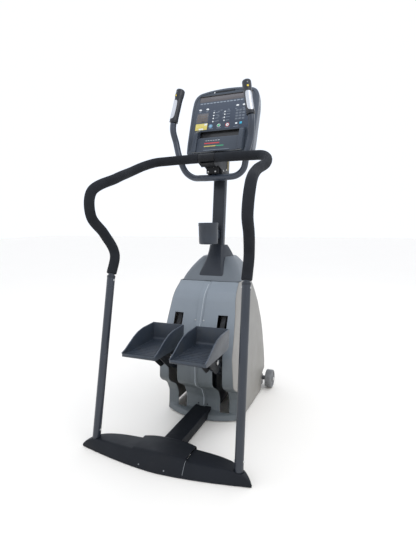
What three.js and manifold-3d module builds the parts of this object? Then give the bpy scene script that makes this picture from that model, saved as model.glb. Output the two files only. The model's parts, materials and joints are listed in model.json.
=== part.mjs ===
// Stair climber with two independent pedals, in millimetres.
// +Z is up, +Y runs from the user towards the console and +X is the user's right.
// The origin is on the floor under the middle of the machine.
import * as THREE from "three";
import { mergeVertices } from "three/addons/utils/BufferGeometryUtils.js";
import Module from "manifold-3d";

// ---- driving dimensions ----------------------------------------------------------------
const GAP = 0.4; // between pieces that touch
const WALL = 2; // steel tube wall

const BASE_HALF_WIDTH = 415; // the widest part of the machine
const BASE_REAR = -560; // rearmost point, on the centre line
const BASE_SWEEP = 60; // how far the base sweeps forward at its ends
const SEAM_X = 130; // between the base's centre cover and its two wings
const COVER_LIFT = 3; // covers stay this far above the floor

const CROSS_Y = [-494, -464]; // rear crossmember
const CROSS_Z = [10, 36];
const SPINE_HALF_WIDTH = 45;
const SPINE_Z = [9, 55];
const FRONT_CROSS_Y = [452, 498]; // front crossmember
const FRONT_CROSS_Z = [14, 64];

const WHEEL_Y = 475;
const WHEEL_Z = 58;
const WHEEL_RADIUS = 55;
const WHEEL_X = [230, 270];

const POST_RADIUS = 19;
const POST_FOOT = [353, -475, 41];
const RAIL_RADIUS = 15; // steel rail inside the foam
const FOAM_RADIUS = 24;
const HANDLE_RADIUS = 17;
const GRIP_RADIUS = 22.5;
const CLAMP_HALF_WIDTH = 45;

const COLUMN_WIDTH = 71;
const COLUMN_DEPTH = 46;
const COLUMN_LEAN = Math.atan(0.136); // forward from upright
const COLUMN_Z = [62, 1396];
const columnRearY = (z) => 229 + 0.136 * (z - 1050);

const CONSOLE_BOTTOM = [0, 242, 1424];
const CONSOLE_TILT = THREE.MathUtils.degToRad(67.9); // face angle above the floor
const CONSOLE_HALF_WIDTH = 198;

const CUP_CENTRE = [-12, 120];
const CUP_Z = [925, 1040];
const CUP_RADIUS = 54;

const SLOT_X = [98, 150]; // arm slots in the rear panel
const SLOT_Z = [38, 570];
const ARM_X = [109, 139];
const LINK_X = [115, 133];
const PEDAL_X = [35, 205];
const PIVOT = { y: 300, z: 127 }; // both arms turn on this shaft
const PEDAL_PIN = { y: -190, z: 380 };
const LINK_OFFSET = { y: 8, z: -40 }; // level link pivots, from the arm's pivots
const PIN_RADIUS = 8;

const DRUM = { y: 74, z: 610, r: 38 }; // strap drums and their shaft
const ROTOR = { y: 290, z: 330 }; // alternator axis
const STRAP_END = { y: -128, z: 377 }; // where a strap holds its arm

// ---- materials -------------------------------------------------------------------------
const material = (color, roughness, metalness = 0) =>
  new THREE.MeshStandardMaterial({ color, roughness, metalness });
const PAINT = material(0x20252e, 0.4, 0.3);
const BASE_PLASTIC = material(0x272b32, 0.55);
const FOAM = material(0x1b1d20, 0.9);
const SHELL_GREY = material(0x9a9c9b, 0.5);
const PANEL_GREY = material(0x8793a3, 0.5);
const PEDAL_PLASTIC = material(0x1d232b, 0.5);
const STEEL = material(0xb9bcc0, 0.35, 0.9);
const ALLOY = material(0xa5a8ab, 0.45, 0.8);
const CONTACT = material(0xd9dce0, 0.25, 0.9);
const RUBBER = material(0x151515, 0.9);
const WHEEL_GREY = material(0x77797c, 0.7);
const CONSOLE_GREY = material(0x4b5664, 0.5);
const FACE_BLUE = material(0x46536a, 0.45);
const LENS = material(0x5a565c, 0.15);
const BELT = material(0x18181a, 0.8);
const YELLOW = material(0xe6cf3c, 0.4);
const BATTERY_GREY = material(0x3a3c40, 0.6);

// ---- geometry helpers ------------------------------------------------------------------
const wasm = await Module();
wasm.setup();

// A closed three.js geometry as a solid, whichever way its faces were wound.
function toSolid(geometry) {
  const source = geometry.index ? geometry.toNonIndexed() : geometry.clone();
  source.deleteAttribute("normal");
  source.deleteAttribute("uv");
  const merged = mergeVertices(source, 1e-3);
  const corners = merged.index.array;
  const kept = [];
  for (let i = 0; i < corners.length; i += 3) {
    const [a, b, c] = [corners[i], corners[i + 1], corners[i + 2]];
    if (a !== b && b !== c && c !== a) kept.push(a, b, c);
  }
  const make = (list) =>
    new wasm.Manifold(
      new wasm.Mesh({
        numProp: 3,
        vertProperties: merged.attributes.position.array,
        triVerts: new Uint32Array(list),
      }),
    );
  const solid = make(kept);
  if (solid.volume() > 0) return solid;
  return make(kept.map((_, i) => kept[i - (i % 3) + 2 - (i % 3)]));
}

function toGeometry(solid) {
  const mesh = solid.getMesh();
  const geometry = new THREE.BufferGeometry();
  geometry.setAttribute("position", new THREE.BufferAttribute(mesh.vertProperties, 3));
  geometry.setIndex(new THREE.BufferAttribute(mesh.triVerts, 1));
  geometry.computeVertexNormals();
  return geometry;
}

const join = (first, ...rest) => rest.reduce((sum, solid) => sum.add(solid), first);
const cut = (first, ...rest) => rest.reduce((sum, solid) => sum.subtract(solid), first);

function mirrorX(solid) {
  return toSolid(toGeometry(solid).applyMatrix4(new THREE.Matrix4().makeScale(-1, 1, 1)));
}

function box([x0, x1], [y0, y1], [z0, z1]) {
  const geometry = new THREE.BoxGeometry(x1 - x0, y1 - y0, z1 - z0);
  return toSolid(geometry.translate((x0 + x1) / 2, (y0 + y1) / 2, (z0 + z1) / 2));
}

function cylinderX([x0, x1], y, z, radius, sides = 16) {
  const geometry = new THREE.CylinderGeometry(radius, radius, x1 - x0, sides);
  return toSolid(geometry.rotateZ(Math.PI / 2).translate((x0 + x1) / 2, y, z));
}

function cylinderZ(x, y, [z0, z1], radius, sides = 16) {
  const geometry = new THREE.CylinderGeometry(radius, radius, z1 - z0, sides);
  return toSolid(geometry.rotateX(Math.PI / 2).translate(x, y, (z0 + z1) / 2));
}

// A cylinder between any two points.
function rod(from, to, radius, sides = 16) {
  const a = new THREE.Vector3(...from);
  const b = new THREE.Vector3(...to);
  const geometry = new THREE.CylinderGeometry(radius, radius, a.distanceTo(b), sides);
  const along = b.clone().sub(a).normalize();
  const turn = new THREE.Quaternion().setFromUnitVectors(new THREE.Vector3(0, 1, 0), along);
  const middle = a.add(b).multiplyScalar(0.5);
  return toSolid(geometry.applyQuaternion(turn).translate(...middle.toArray()));
}

const circle = (radius, sides) =>
  Array.from({ length: sides }, (_, i) => {
    const angle = (2 * Math.PI * (i + 0.5)) / sides;
    return new THREE.Vector2(radius * Math.cos(angle), radius * Math.sin(angle));
  });

// A round tube along a curve; an inner radius of 0 makes it solid.
function tube(curve, outer, inner, steps, sides) {
  const shape = new THREE.Shape(circle(outer, sides));
  if (inner > 0) shape.holes.push(new THREE.Path(circle(inner, sides)));
  return toSolid(new THREE.ExtrudeGeometry(shape, { steps, extrudePath: curve }));
}

// A [y, z] outline extruded along X.
function plateX(outline, [x0, x1], holes = []) {
  const shape = new THREE.Shape(outline.map(([y, z]) => new THREE.Vector2(y, z)));
  for (const { y, z, r, sides = 16 } of holes) {
    const ring = circle(r, sides).map((p) => p.add(new THREE.Vector2(y, z)));
    shape.holes.push(new THREE.Path(ring));
  }
  const geometry = new THREE.ExtrudeGeometry(shape, { depth: x1 - x0, bevelEnabled: false });
  const axes = new THREE.Matrix4().makeBasis(
    new THREE.Vector3(0, 1, 0),
    new THREE.Vector3(0, 0, 1),
    new THREE.Vector3(1, 0, 0),
  );
  return toSolid(geometry.applyMatrix4(axes).translate(x0, 0, 0));
}

// A [x, y] outline extruded along Z.
function plateZ(outline, [z0, z1]) {
  const shape = new THREE.Shape(outline.map(([x, y]) => new THREE.Vector2(x, y)));
  const geometry = new THREE.ExtrudeGeometry(shape, { depth: z1 - z0, bevelEnabled: false });
  return toSolid(geometry.translate(0, 0, z0));
}

const lathePoints = (profile) => profile.map(([r, along]) => new THREE.Vector2(r, along));

// A profile of [radius, along] points turned about X.
function turnedX(profile, x, y, z, sides = 20) {
  const points = lathePoints(profile);
  points.push(points[0].clone());
  const geometry = new THREE.LatheGeometry(points, sides);
  return toSolid(geometry.rotateZ(-Math.PI / 2).translate(x, y, z));
}

// Rings of [x, y, z] points with equal counts, skinned and capped by a flat fan at each end.
function loft(rings) {
  const count = rings[0].length;
  const positions = rings.flat(2);
  const faces = [];
  for (let r = 0; r < rings.length - 1; r++)
    for (let i = 0; i < count; i++) {
      const [a, b] = [r * count + i, r * count + ((i + 1) % count)];
      faces.push(a, b, b + count, a, b + count, a + count);
    }
  const last = (rings.length - 1) * count;
  for (let i = 1; i < count - 1; i++) {
    faces.push(0, i + 1, i);
    faces.push(last, last + i, last + i + 1);
  }
  const geometry = new THREE.BufferGeometry();
  geometry.setAttribute("position", new THREE.Float32BufferAttribute(positions, 3));
  geometry.setIndex(faces);
  return toSolid(geometry);
}

// A sheet with thickness, from two grids of [x, y, z] points of the same size.
function sheet(outer, inner) {
  const [rows, columns] = [outer.length, outer[0].length];
  const positions = [...outer.flat(2), ...inner.flat(2)];
  const at = (r, c, side) => side * rows * columns + r * columns + c;
  const faces = [];
  const quad = (a, b, c, d) => faces.push(a, b, c, a, c, d);
  for (let r = 0; r < rows - 1; r++) {
    for (let c = 0; c < columns - 1; c++) {
      quad(at(r, c, 0), at(r, c + 1, 0), at(r + 1, c + 1, 0), at(r + 1, c, 0));
      quad(at(r, c, 1), at(r + 1, c, 1), at(r + 1, c + 1, 1), at(r, c + 1, 1));
    }
    quad(at(r, 0, 0), at(r + 1, 0, 0), at(r + 1, 0, 1), at(r, 0, 1));
    const c = columns - 1;
    quad(at(r, c, 0), at(r, c, 1), at(r + 1, c, 1), at(r + 1, c, 0));
  }
  for (let c = 0; c < columns - 1; c++) {
    quad(at(0, c, 0), at(0, c, 1), at(0, c + 1, 1), at(0, c + 1, 0));
    const r = rows - 1;
    quad(at(r, c, 0), at(r, c + 1, 0), at(r, c + 1, 1), at(r, c, 1));
  }
  const geometry = new THREE.BufferGeometry();
  geometry.setAttribute("position", new THREE.Float32BufferAttribute(positions, 3));
  geometry.setIndex(faces);
  return toSolid(geometry);
}

const machine = new THREE.Group();

function piece(name, solid, look, parent = machine) {
  const mesh = new THREE.Mesh(toGeometry(solid), look.clone());
  mesh.name = name;
  parent.add(mesh);
}

function pair(name, rightSolid, look) {
  piece(`${name}_left`, mirrorX(rightSolid), look);
  piece(`${name}_right`, rightSolid, look);
}

const lerp = THREE.MathUtils.lerp;
const CUTTER = 1200; // a cutting tool this long passes right through the machine

// ---- base ------------------------------------------------------------------------------
const baseRear = (x) => BASE_REAR + BASE_SWEEP * Math.pow(Math.abs(x) / BASE_HALF_WIDTH, 1.6);
const baseFront = (x) => {
  const reach = 1 - Math.pow(Math.abs(x) / BASE_HALF_WIDTH, 5);
  return BASE_REAR + BASE_SWEEP + 100 * Math.pow(Math.max(reach, 0.001), 0.909);
};
const wingHeight = (x) => {
  const t = x / BASE_HALF_WIDTH;
  return (60 - 12 * t) * (1 - 0.75 * t ** 16);
};

// One cross-section of the base cover: a slanted rear fascia and a nearly flat top.
function baseSection(x, rear, front, height, inset) {
  const [y0, y1] = [rear + inset, front - inset];
  const [z0, z1] = [inset > 0 ? -20 : COVER_LIFT, height - inset];
  const width = y1 - y0;
  return [
    [x, y0, z0],
    [x, y0 + 0.05 * width, lerp(COVER_LIFT, z1, 0.35)],
    [x, y0 + 0.2 * width, z1 - 0.08 * height],
    [x, y0 + 0.28 * width, z1],
    [x, y1 - 0.08 * width, z1 - 0.5],
    [x, y1 - 0.02 * width, z1 - 0.13 * height],
    [x, y1, z0],
  ];
}

const SHELL = 3; // moulded cover thickness
const WING_STATIONS = [SEAM_X + GAP, 215, 295, 355, 395, 414.5];
const wingRings = (stations, inset) =>
  stations.map((x) => baseSection(x, baseRear(x), baseFront(x), wingHeight(x), inset));
const postHole = rod([353.5, -479, 20], [351, -455, 140], POST_RADIUS + 3, 12);
const wing = cut(
  loft(wingRings(WING_STATIONS, 0)),
  loft(wingRings([120, 215, 295, 355, 392], SHELL)),
  postHole,
);
pair("base_wing_cover", wing, BASE_PLASTIC);

const CENTRE_STATIONS = [-1, -0.72, -0.36, 0, 0.36, 0.72, 1].map((t) => t * (SEAM_X - GAP));
const centreFront = (x) => -370 - 20 * Math.pow(Math.abs(x) / SEAM_X, 3);
const centreRings = (inset, scale) =>
  CENTRE_STATIONS.map((x) =>
    baseSection(x * scale, baseRear(x), centreFront(x), 66 - 3 * (x / SEAM_X) ** 2, inset),
  );
const centreCover = cut(
  loft(centreRings(0, 1)),
  loft(centreRings(SHELL, 1.1)),
  box([-SPINE_HALF_WIDTH - 1.5, SPINE_HALF_WIDTH + 1.5], [-420, -340], [-30, SPINE_Z[1] + 1.5]),
);
piece("base_centre_cover", centreCover, BASE_PLASTIC);

// A rectangular steel tube along X or Y, open at both ends.
function boxTube(xs, ys, zs, alongX) {
  const shrink = ([a, b]) => [a + WALL, b - WALL];
  const grow = ([a, b]) => [a - 5, b + 5];
  if (alongX) return cut(box(xs, ys, zs), box(grow(xs), shrink(ys), shrink(zs)));
  return cut(box(xs, ys, zs), box(shrink(xs), grow(ys), shrink(zs)));
}

const FOOT_X = 320;
const FOOT_Y = (CROSS_Y[0] + CROSS_Y[1]) / 2;
const footHole = (x) => cylinderZ(x, FOOT_Y, [-5, 20], 6, 8);
const crossmember = cut(
  boxTube([-372, 372], CROSS_Y, CROSS_Z, true),
  footHole(FOOT_X),
  footHole(-FOOT_X),
);
piece("rear_crossmember", crossmember, PAINT);
const spineX = [-SPINE_HALF_WIDTH, SPINE_HALF_WIDTH];
const spineY = [CROSS_Y[1] + GAP, FRONT_CROSS_Y[0] - GAP];
piece("spine_tube", boxTube(spineX, spineY, SPINE_Z, false), PAINT);

const WHEEL_PLATE = [[445, 25], [455, 14], [498, 14], [505, 50], [490, 80], [460, 80]];
const frontCross = join(
  boxTube([-196, 196], FRONT_CROSS_Y, FRONT_CROSS_Z, true),
  plateX(WHEEL_PLATE, [196, 201]),
  plateX(WHEEL_PLATE, [-201, -196]),
);
const axleHole = cylinderX([-280, 280], WHEEL_Y, WHEEL_Z, 8.5, 12);
piece("front_crossmember", cut(frontCross, axleHole), PAINT);
piece("front_foot_pad", box([-150, 150], [455, 495], [0, FRONT_CROSS_Z[0] - GAP]), RUBBER);

const footProfile = [[0, 0], [20, 0], [22, 3], [20, 7], [10, 9], [4.8, 9], [4.8, 30], [0, 30]];
const foot = new THREE.LatheGeometry(lathePoints(footProfile), 10);
const rearFoot = toSolid(foot.rotateX(Math.PI / 2).translate(FOOT_X, FOOT_Y, 0));
pair("leveling_foot", rearFoot, RUBBER);

// ---- transport wheels ------------------------------------------------------------------
const wheelWidth = WHEEL_X[1] - WHEEL_X[0];
const rim = WHEEL_RADIUS;
const wheelProfile = [
  [8.4, -27],
  [13, -27],
  [13, 0],
  [20, 0],
  [22, 5],
  [rim - 13, 5],
  [rim - 10, 0],
  [rim - 3, 0],
  [rim, 5],
  [rim, wheelWidth - 5],
  [rim - 3, wheelWidth],
  [8.4, wheelWidth],
];
pair("transport_wheel", turnedX(wheelProfile, WHEEL_X[0], WHEEL_Y, WHEEL_Z, 18), WHEEL_GREY);
const axle = join(
  cylinderX([-273, 273], WHEEL_Y, WHEEL_Z, 8, 10),
  cylinderX([272, 276], WHEEL_Y, WHEEL_Z, 12, 6),
  cylinderX([-276, -272], WHEEL_Y, WHEEL_Z, 12, 6),
);
piece("wheel_axle", axle, STEEL);

// ---- posts and foam-covered handrail ---------------------------------------------------
const railPoints = [
  [337, -319, 806],
  [337, -286, 899],
  [353, -341, 998],
  [367, -410, 1078],
  [373, -393, 1186],
  [350, -227, 1261],
  [355, -86, 1306],
  [335, 8, 1343],
  [292, 71, 1367],
  [235, 85, 1371],
  [120, 85, 1373],
  [0, 85, 1373],
];
const railCurve = new THREE.CatmullRomCurve3(
  railPoints.map((p) => new THREE.Vector3(...p)),
  false,
  "centripetal",
);

// The stretch of another curve between two fractions of its length.
class Stretch extends THREE.Curve {
  constructor(curve, from, to) {
    super();
    Object.assign(this, { curve, from, to });
  }

  getPoint(t, target = new THREE.Vector3()) {
    return this.curve.getPointAt(lerp(this.from, this.to, t), target);
  }
}

const railLength = railCurve.getLength();
const foamEnd = 1 - (CLAMP_HALF_WIDTH + 1) / railLength;
const foam = tube(new Stretch(railCurve, 0, foamEnd), FOAM_RADIUS, RAIL_RADIUS + 5, 28, 9);
pair("handrail_foam", foam, FOAM);

// The rail runs from inside one post, through both foams, to the other post.
const socket = new THREE.Vector3(338.7, -336, 722);
const halfRail = [socket, ...railPoints.map((p) => new THREE.Vector3(...p))];
const mirrored = halfRail.slice(0, -1).reverse();
const wholeRail = new THREE.CatmullRomCurve3(
  [...halfRail, ...mirrored.map((p) => new THREE.Vector3(-p.x, p.y, p.z))],
  false,
  "centripetal",
);
piece("handrail_tube", tube(wholeRail, RAIL_RADIUS, RAIL_RADIUS - WALL, 46, 6), STEEL);

const postTop = [337.2, -321, 799];
const postBore = rod([353.8, -483, 2], [336.4, -313, 838], POST_RADIUS - WALL, 12);
const post = cut(rod(POST_FOOT, postTop, POST_RADIUS, 14), postBore);
pair("post", post, PAINT);

const clampX = [-CLAMP_HALF_WIDTH, CLAMP_HALF_WIDTH];
const clamp = cut(
  cylinderX(clampX, 85, 1373, FOAM_RADIUS - 0.5, 16),
  cylinderX([-60, 60], 85, 1373, RAIL_RADIUS + 1.5, 16),
);
piece("handrail_clamp", clamp, PAINT);

// ---- column and head -------------------------------------------------------------------
function roundedRect(width, depth, radius) {
  const outline = [];
  const corners = [[1, 1], [-1, 1], [-1, -1], [1, -1]];
  corners.forEach(([sx, sy], quarter) => {
    for (let i = 0; i <= 2; i++) {
      const angle = (quarter + i / 2) * (Math.PI / 2);
      const x = sx * (width / 2 - radius) + radius * Math.cos(angle);
      outline.push([x, sy * (depth / 2 - radius) + radius * Math.sin(angle)]);
    }
  });
  return outline;
}

// A prism around the leaning column axis, between two heights on that axis.
function columnPrism(outline, [z0, z1]) {
  const length = (z1 - z0) / Math.cos(COLUMN_LEAN);
  const shape = new THREE.Shape(outline.map(([x, y]) => new THREE.Vector2(x, y)));
  const geometry = new THREE.ExtrudeGeometry(shape, { depth: length, bevelEnabled: false });
  geometry.rotateX(-COLUMN_LEAN);
  return toSolid(geometry.translate(0, columnRearY(z0) + COLUMN_DEPTH / 2, z0));
}

const columnHole = (margin, zs) =>
  columnPrism(roundedRect(COLUMN_WIDTH + 2 * margin, COLUMN_DEPTH + 2 * margin, 12 + margin), zs);
const column = cut(
  columnPrism(roundedRect(COLUMN_WIDTH, COLUMN_DEPTH, 12), COLUMN_Z),
  columnHole(-2.5, [COLUMN_Z[0] - 20, COLUMN_Z[1] + 20]),
);
piece("column", column, PAINT);

// Two cheek plates and a sloping web carry the handrail and the pulse handle on the column.
const cheek = [
  [66, 1347],
  [108, 1331],
  [136, 1341],
  [188, 1323],
  [194, 1301],
  [310, 1301],
  [322, 1400],
  [236, 1412],
  [116, 1396],
  [104, 1352],
];
const cheekIn = COLUMN_WIDTH / 2 + 1;
const webOutline = [[70, 1347], [108, 1332], [136, 1342], [188, 1324], [190, 1329], [136, 1347], [108, 1337]];
const web = plateX(webOutline, [-cheekIn - 1, cheekIn + 1]);
const webDrop = plateX([[157, 1302], [163, 1302], [163, 1347], [157, 1347]], [-cheekIn + 2, cheekIn - 2]);
const headBracket = join(
  plateX(cheek, [cheekIn, cheekIn + 5]),
  plateX(cheek, [-cheekIn - 5, -cheekIn]),
  web,
  webDrop,
);
const clampClearance = cylinderX([-60, 60], 85, 1373, FOAM_RADIUS, 16);
piece("head_bracket", cut(headBracket, clampClearance), PAINT);

// ---- pulse handle ----------------------------------------------------------------------
const handlePoints = [
  [184.5, 172.5, 1755],
  [202, 154, 1663],
  [222, 140, 1548],
  [213, 156, 1477],
  [193, 154, 1397],
  [168, 179, 1320],
  [126, 186, 1289],
  [60, 166, 1281],
  [0, 160, 1280],
];
const handleHalf = handlePoints.map((p) => new THREE.Vector3(...p));
const otherHalf = handleHalf.slice(0, -1).reverse();
const handleCurve = new THREE.CatmullRomCurve3(
  [...handleHalf, ...otherHalf.map((p) => new THREE.Vector3(-p.x, p.y, p.z))],
  false,
  "centripetal",
);
const handleLug = plateX([[158, 1270], [172, 1290], [255, 1296], [255, 1278], [176, 1264]], [-22, 22]);
const GRIP_LENGTH = 181;
const gripShare = GRIP_LENGTH / handleCurve.getLength();
const rightEnd = new Stretch(handleCurve, 0, gripShare);
const spigot = tube(new Stretch(handleCurve, 0.004, gripShare + 0.01), 12, 0, 6, 6);
const bend = tube(new Stretch(handleCurve, gripShare + 0.002, 0.998 - gripShare), HANDLE_RADIUS, 0, 30, 9);
const handle = join(bend, spigot, mirrorX(spigot), handleLug);
piece("pulse_handle", cut(handle, box([-40, 40], [253.5, 300], [1200, 1340])), PAINT);

// Grips slide over the handle's upright ends; plates and buttons face the user and turn outwards.
const GRIP_TURN = 24; // degrees outwards from straight back
const BUTTON = new THREE.Vector3(191.5, 165.5, 1717); // on the grip's axis
const BUTTON_OUT = new THREE.Vector3(0.398, -0.893, 0.209); // towards the user's hand
const buttonAt = (distance) => BUTTON.clone().addScaledVector(BUTTON_OUT, distance).toArray();
const grip = cut(
  tube(rightEnd, GRIP_RADIUS, 14.5, 6, 10),
  rod(buttonAt(7), buttonAt(34), 6.4, 8),
);
pair("pulse_grip", grip, PAINT);
pair("thumb_button", rod(buttonAt(19), buttonAt(25.2), 5.6, 8), YELLOW);

// A contact plate is a shallow arc of sheet that follows the grip.
function contactShape() {
  const [inner, outer] = [GRIP_RADIUS + 1.5, GRIP_RADIUS + 2.7];
  const arc = (radius, i) => {
    const angle = THREE.MathUtils.degToRad(GRIP_TURN - 44 + 22 * i);
    return [radius * Math.sin(angle), -radius * Math.cos(angle)];
  };
  const indices = [0, 1, 2, 3, 4];
  return [...indices.map((i) => arc(outer, i)), ...indices.reverse().map((i) => arc(inner, i))];
}

function contactPlate() {
  const rings = [];
  for (let i = 0; i <= 4; i++) {
    const t = lerp(60, 160, i / 4) / handleCurve.getLength();
    const centre = handleCurve.getPointAt(t);
    rings.push(contactShape().map(([x, y]) => [centre.x + x, centre.y + y, centre.z]));
  }
  const strips = rings.map((ring) => ({ outer: ring.slice(0, 5), inner: ring.slice(5).reverse() }));
  return sheet(strips.map((s) => s.outer), strips.map((s) => s.inner));
}
pair("contact_plate", contactPlate(), CONTACT);

// ---- cup holder ------------------------------------------------------------------------
const cupHeight = CUP_Z[1] - CUP_Z[0];
const cupRim = [[CUP_RADIUS, cupHeight], [CUP_RADIUS - 3, cupHeight]];
const cupProfile = [[0, 0], [46, 0], [51, 4], ...cupRim, [48, 7], [0, 4]];
const cupLathe = new THREE.LatheGeometry(lathePoints(cupProfile), 20);
const cupBody = toSolid(cupLathe.rotateX(Math.PI / 2).translate(...CUP_CENTRE, CUP_Z[0]));
const cupInside = cylinderZ(...CUP_CENTRE, [CUP_Z[0] + 6, CUP_Z[1] + 10], 47.5, 20);
const cupArm = cut(
  box([-28, 16], [150, 240], [950, 1000]),
  columnHole(GAP, [900, 1060]),
  cupInside,
  box([-60, 60], [columnRearY(1000) + 10, 300], [900, 1100]),
);
piece("cup_holder", join(cupBody, cupArm), BASE_PLASTIC);

// ---- column boot -----------------------------------------------------------------------
// Rings at rising heights: rear y, front y, half-width at the front and half-width at the rear.
const BOOT_LEVELS = [
  [748, 117, 300, 84, 82],
  [762, 122, 303, 84, 75],
  [780, 132, 305, 84, 67],
  [805, 148, 305, 82, 59],
  [842, 169, 302, 78, 50],
  [880, 190, 285, 66, 44],
  [905, 201, 270, 56, 42],
  [914, 205, 264, 52, 41.5],
];
function bootRings(inset, lift) {
  return BOOT_LEVELS.map(([z, rear, front, half, rearHalf]) => {
    const depth = front - rear;
    const outline = roundedRect(2 * (half - inset), depth - 2 * inset, 20);
    return outline.map(([x, y]) => {
      const narrowed = lerp(rearHalf / half, 1, THREE.MathUtils.smoothstep(y / depth + 0.5, 0, 0.8));
      return [x * narrowed, y + (front + rear) / 2, z + lift];
    });
  });
}
const boot = cut(loft(bootRings(0, 0)), loft(bootRings(SHELL, -4)), columnHole(1, [730, 940]));
piece("column_boot", boot, BASE_PLASTIC);

// ---- shroud ----------------------------------------------------------------------------
// Height, rear y of the panel's side edges, front y, half-width and how far the middle bows out.
const SHROUD = [
  { z: 8, rear: -12, front: 545, half: 213, bow: 66 },
  { z: 32, rear: -8, front: 548, half: 213, bow: 52 },
  { z: 40, rear: -6, front: 549, half: 213, bow: 12 },
  { z: 110, rear: 0, front: 555, half: 213, bow: 12 },
  { z: 165, rear: -27, front: 560, half: 212, bow: 12 },
  { z: 185, rear: -58, front: 560, half: 211, bow: 12 },
  { z: 205, rear: -94, front: 560, half: 210, bow: 12 },
  { z: 230, rear: -114, front: 559, half: 209, bow: 12 },
  { z: 374, rear: -111, front: 542, half: 202, bow: 12 },
  { z: 450, rear: -74, front: 522, half: 198, bow: 12 },
  { z: 567, rear: -22, front: 474, half: 190, bow: 11 },
  { z: 643, rear: 8, front: 430, half: 182, bow: 9 },
  { z: 677, rear: 32, front: 406, half: 178, bow: 7 },
  { z: 726, rear: 96, front: 366, half: 172, bow: 4 },
];
const NOSE_RADIUS = 85;
const PANEL_THICK = 4;

function panelRow({ z, rear, half, bow }, inset) {
  const across = [-1, -0.75, -0.4, 0, 0.4, 0.75, 1];
  return across.map((t) => [t * (half - 4), rear - bow * (1 - t * t) + inset, z]);
}
const slotTool = (side) =>
  box(side > 0 ? SLOT_X : [-SLOT_X[1], -SLOT_X[0]], [-200, 120], SLOT_Z);
const panelRows = (inset) => SHROUD.map((level) => panelRow(level, inset));
const rearPanel = cut(
  sheet(panelRows(0), panelRows(PANEL_THICK)),
  slotTool(1),
  slotTool(-1),
  box([-SPINE_HALF_WIDTH - 2, SPINE_HALF_WIDTH + 2], [-200, 60], [-5, SPINE_Z[1] + 2]),
);
piece("rear_panel", rearPanel, PANEL_GREY);

// One level of a side shell, from its rear edge round the nose to the centre line.
function shellRow({ z, rear, front, half }, inset) {
  const radius = Math.min(NOSE_RADIUS, (front - rear) / 3);
  const row = [
    [half - inset, rear + GAP, z],
    [half - inset, rear + 40, z],
    [half - inset, lerp(rear, front, 0.5), z],
  ];
  for (let i = 0; i <= 3; i++) {
    const angle = (i * Math.PI) / 6;
    const reach = radius - inset;
    row.push([half - radius + reach * Math.cos(angle), front - radius + reach * Math.sin(angle), z]);
  }
  row.push([GAP, front - inset, z]);
  return row;
}
const shellLevels = SHROUD.filter((level) => level.bow < 20 || level.z < 20);
const shellRows = (inset) => shellLevels.map((level) => shellRow(level, inset));
// The lower front edge rises over the crossmember, with an arch for each wheel.
const noseOutline = [[395, -20], [405, 34], [470, 112], [520, 128], [640, 132], [640, -20]];
const noseCut = plateX(noseOutline, [-CUTTER, CUTTER]);
const wheelArch = cylinderX([150, 300], WHEEL_Y, WHEEL_Z, WHEEL_RADIUS + 7, 16);
const sideShell = cut(sheet(shellRows(0), shellRows(3.5)), noseCut, wheelArch);
pair("side_shell", sideShell, SHELL_GREY);

// The cap closes the shroud's top around the column.
const CAP_LEVELS = [
  [726.6, 98, 362, 171],
  [745, 112, 358, 166],
  [790, 150, 346, 142],
  [830, 186, 332, 112],
  [850, 205, 322, 92],
];
function capRings(inset, lift) {
  return CAP_LEVELS.map(([z, rear, front, half]) => {
    const outline = roundedRect(2 * (half - inset), front - rear - 2 * inset, 40);
    return outline.map(([x, y]) => [x, y + (front + rear) / 2, z + lift]);
  });
}
const topCap = cut(loft(capRings(0, 0)), loft(capRings(SHELL, -5)), loft(bootRings(-1, 0)));
piece("top_cap", topCap, SHELL_GREY);

// ---- inner frame -----------------------------------------------------------------------
const FRAME_X = [SPINE_HALF_WIDTH + GAP, SPINE_HALF_WIDTH + 6];
const shaftHole = (at, r) => ({ y: at.y, z: at.z, r, sides: 10 });
const linkPivot = { y: PIVOT.y + LINK_OFFSET.y, z: PIVOT.z + LINK_OFFSET.z };
const frameOutline = [
  [60, 14],
  [345, 14],
  [345, 370],
  [270, 400],
  [240, 560],
  [130, 680],
  [60, 680],
  [24, 645],
  [24, 560],
  [60, 420],
];
const framePlate = plateX(frameOutline, FRAME_X, [
  shaftHole(PIVOT, 13),
  shaftHole(DRUM, 13),
  shaftHole(ROTOR, 14),
]);
const linkStud = cylinderX([FRAME_X[0] + 1, 144], linkPivot.y, linkPivot.z, 6, 12);
const frameHalf = join(framePlate, linkStud);
const frameTie = (y, z) => box([-FRAME_X[0] - 1, FRAME_X[0] + 1], [y, y + 20], [z, z + 30]);
const frameTies = join(frameTie(310, 60), frameTie(70, 530), frameTie(225, 430));
piece("inner_frame", join(frameHalf, mirrorX(frameHalf), frameTies), PAINT);
piece("pivot_shaft", cylinderX([-146, 146], PIVOT.y, PIVOT.z, 12, 16), STEEL);

const battery = box([-38, 38], [370, 440], [SPINE_Z[1] + GAP, 150]);
piece("battery", battery, BATTERY_GREY);

// ---- pedal arms, level links and pedals ------------------------------------------------
// An outline round two points, with a round end at each.
function strut(from, to, r0, r1) {
  const along = Math.atan2(to.z - from.z, to.y - from.y);
  const outline = [];
  for (const [centre, radius, start] of [[from, r0, 0.5], [to, r1, -0.5]])
    for (let i = 0; i <= 6; i++) {
      const angle = along + Math.PI * (start + i / 6);
      outline.push([centre.y + radius * Math.cos(angle), centre.z + radius * Math.sin(angle)]);
    }
  return outline;
}

const offset = (p) => ({ y: p.y + LINK_OFFSET.y, z: p.z + LINK_OFFSET.z });
const armOuter = plateX(strut(PEDAL_PIN, PIVOT, 17, 20), ARM_X, [
  { ...PEDAL_PIN, r: PIN_RADIUS + 0.3 },
  { ...PIVOT, r: 12.4 },
]);
const armTurn = Math.atan2(PIVOT.z - PEDAL_PIN.z, PIVOT.y - PEDAL_PIN.y);
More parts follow.
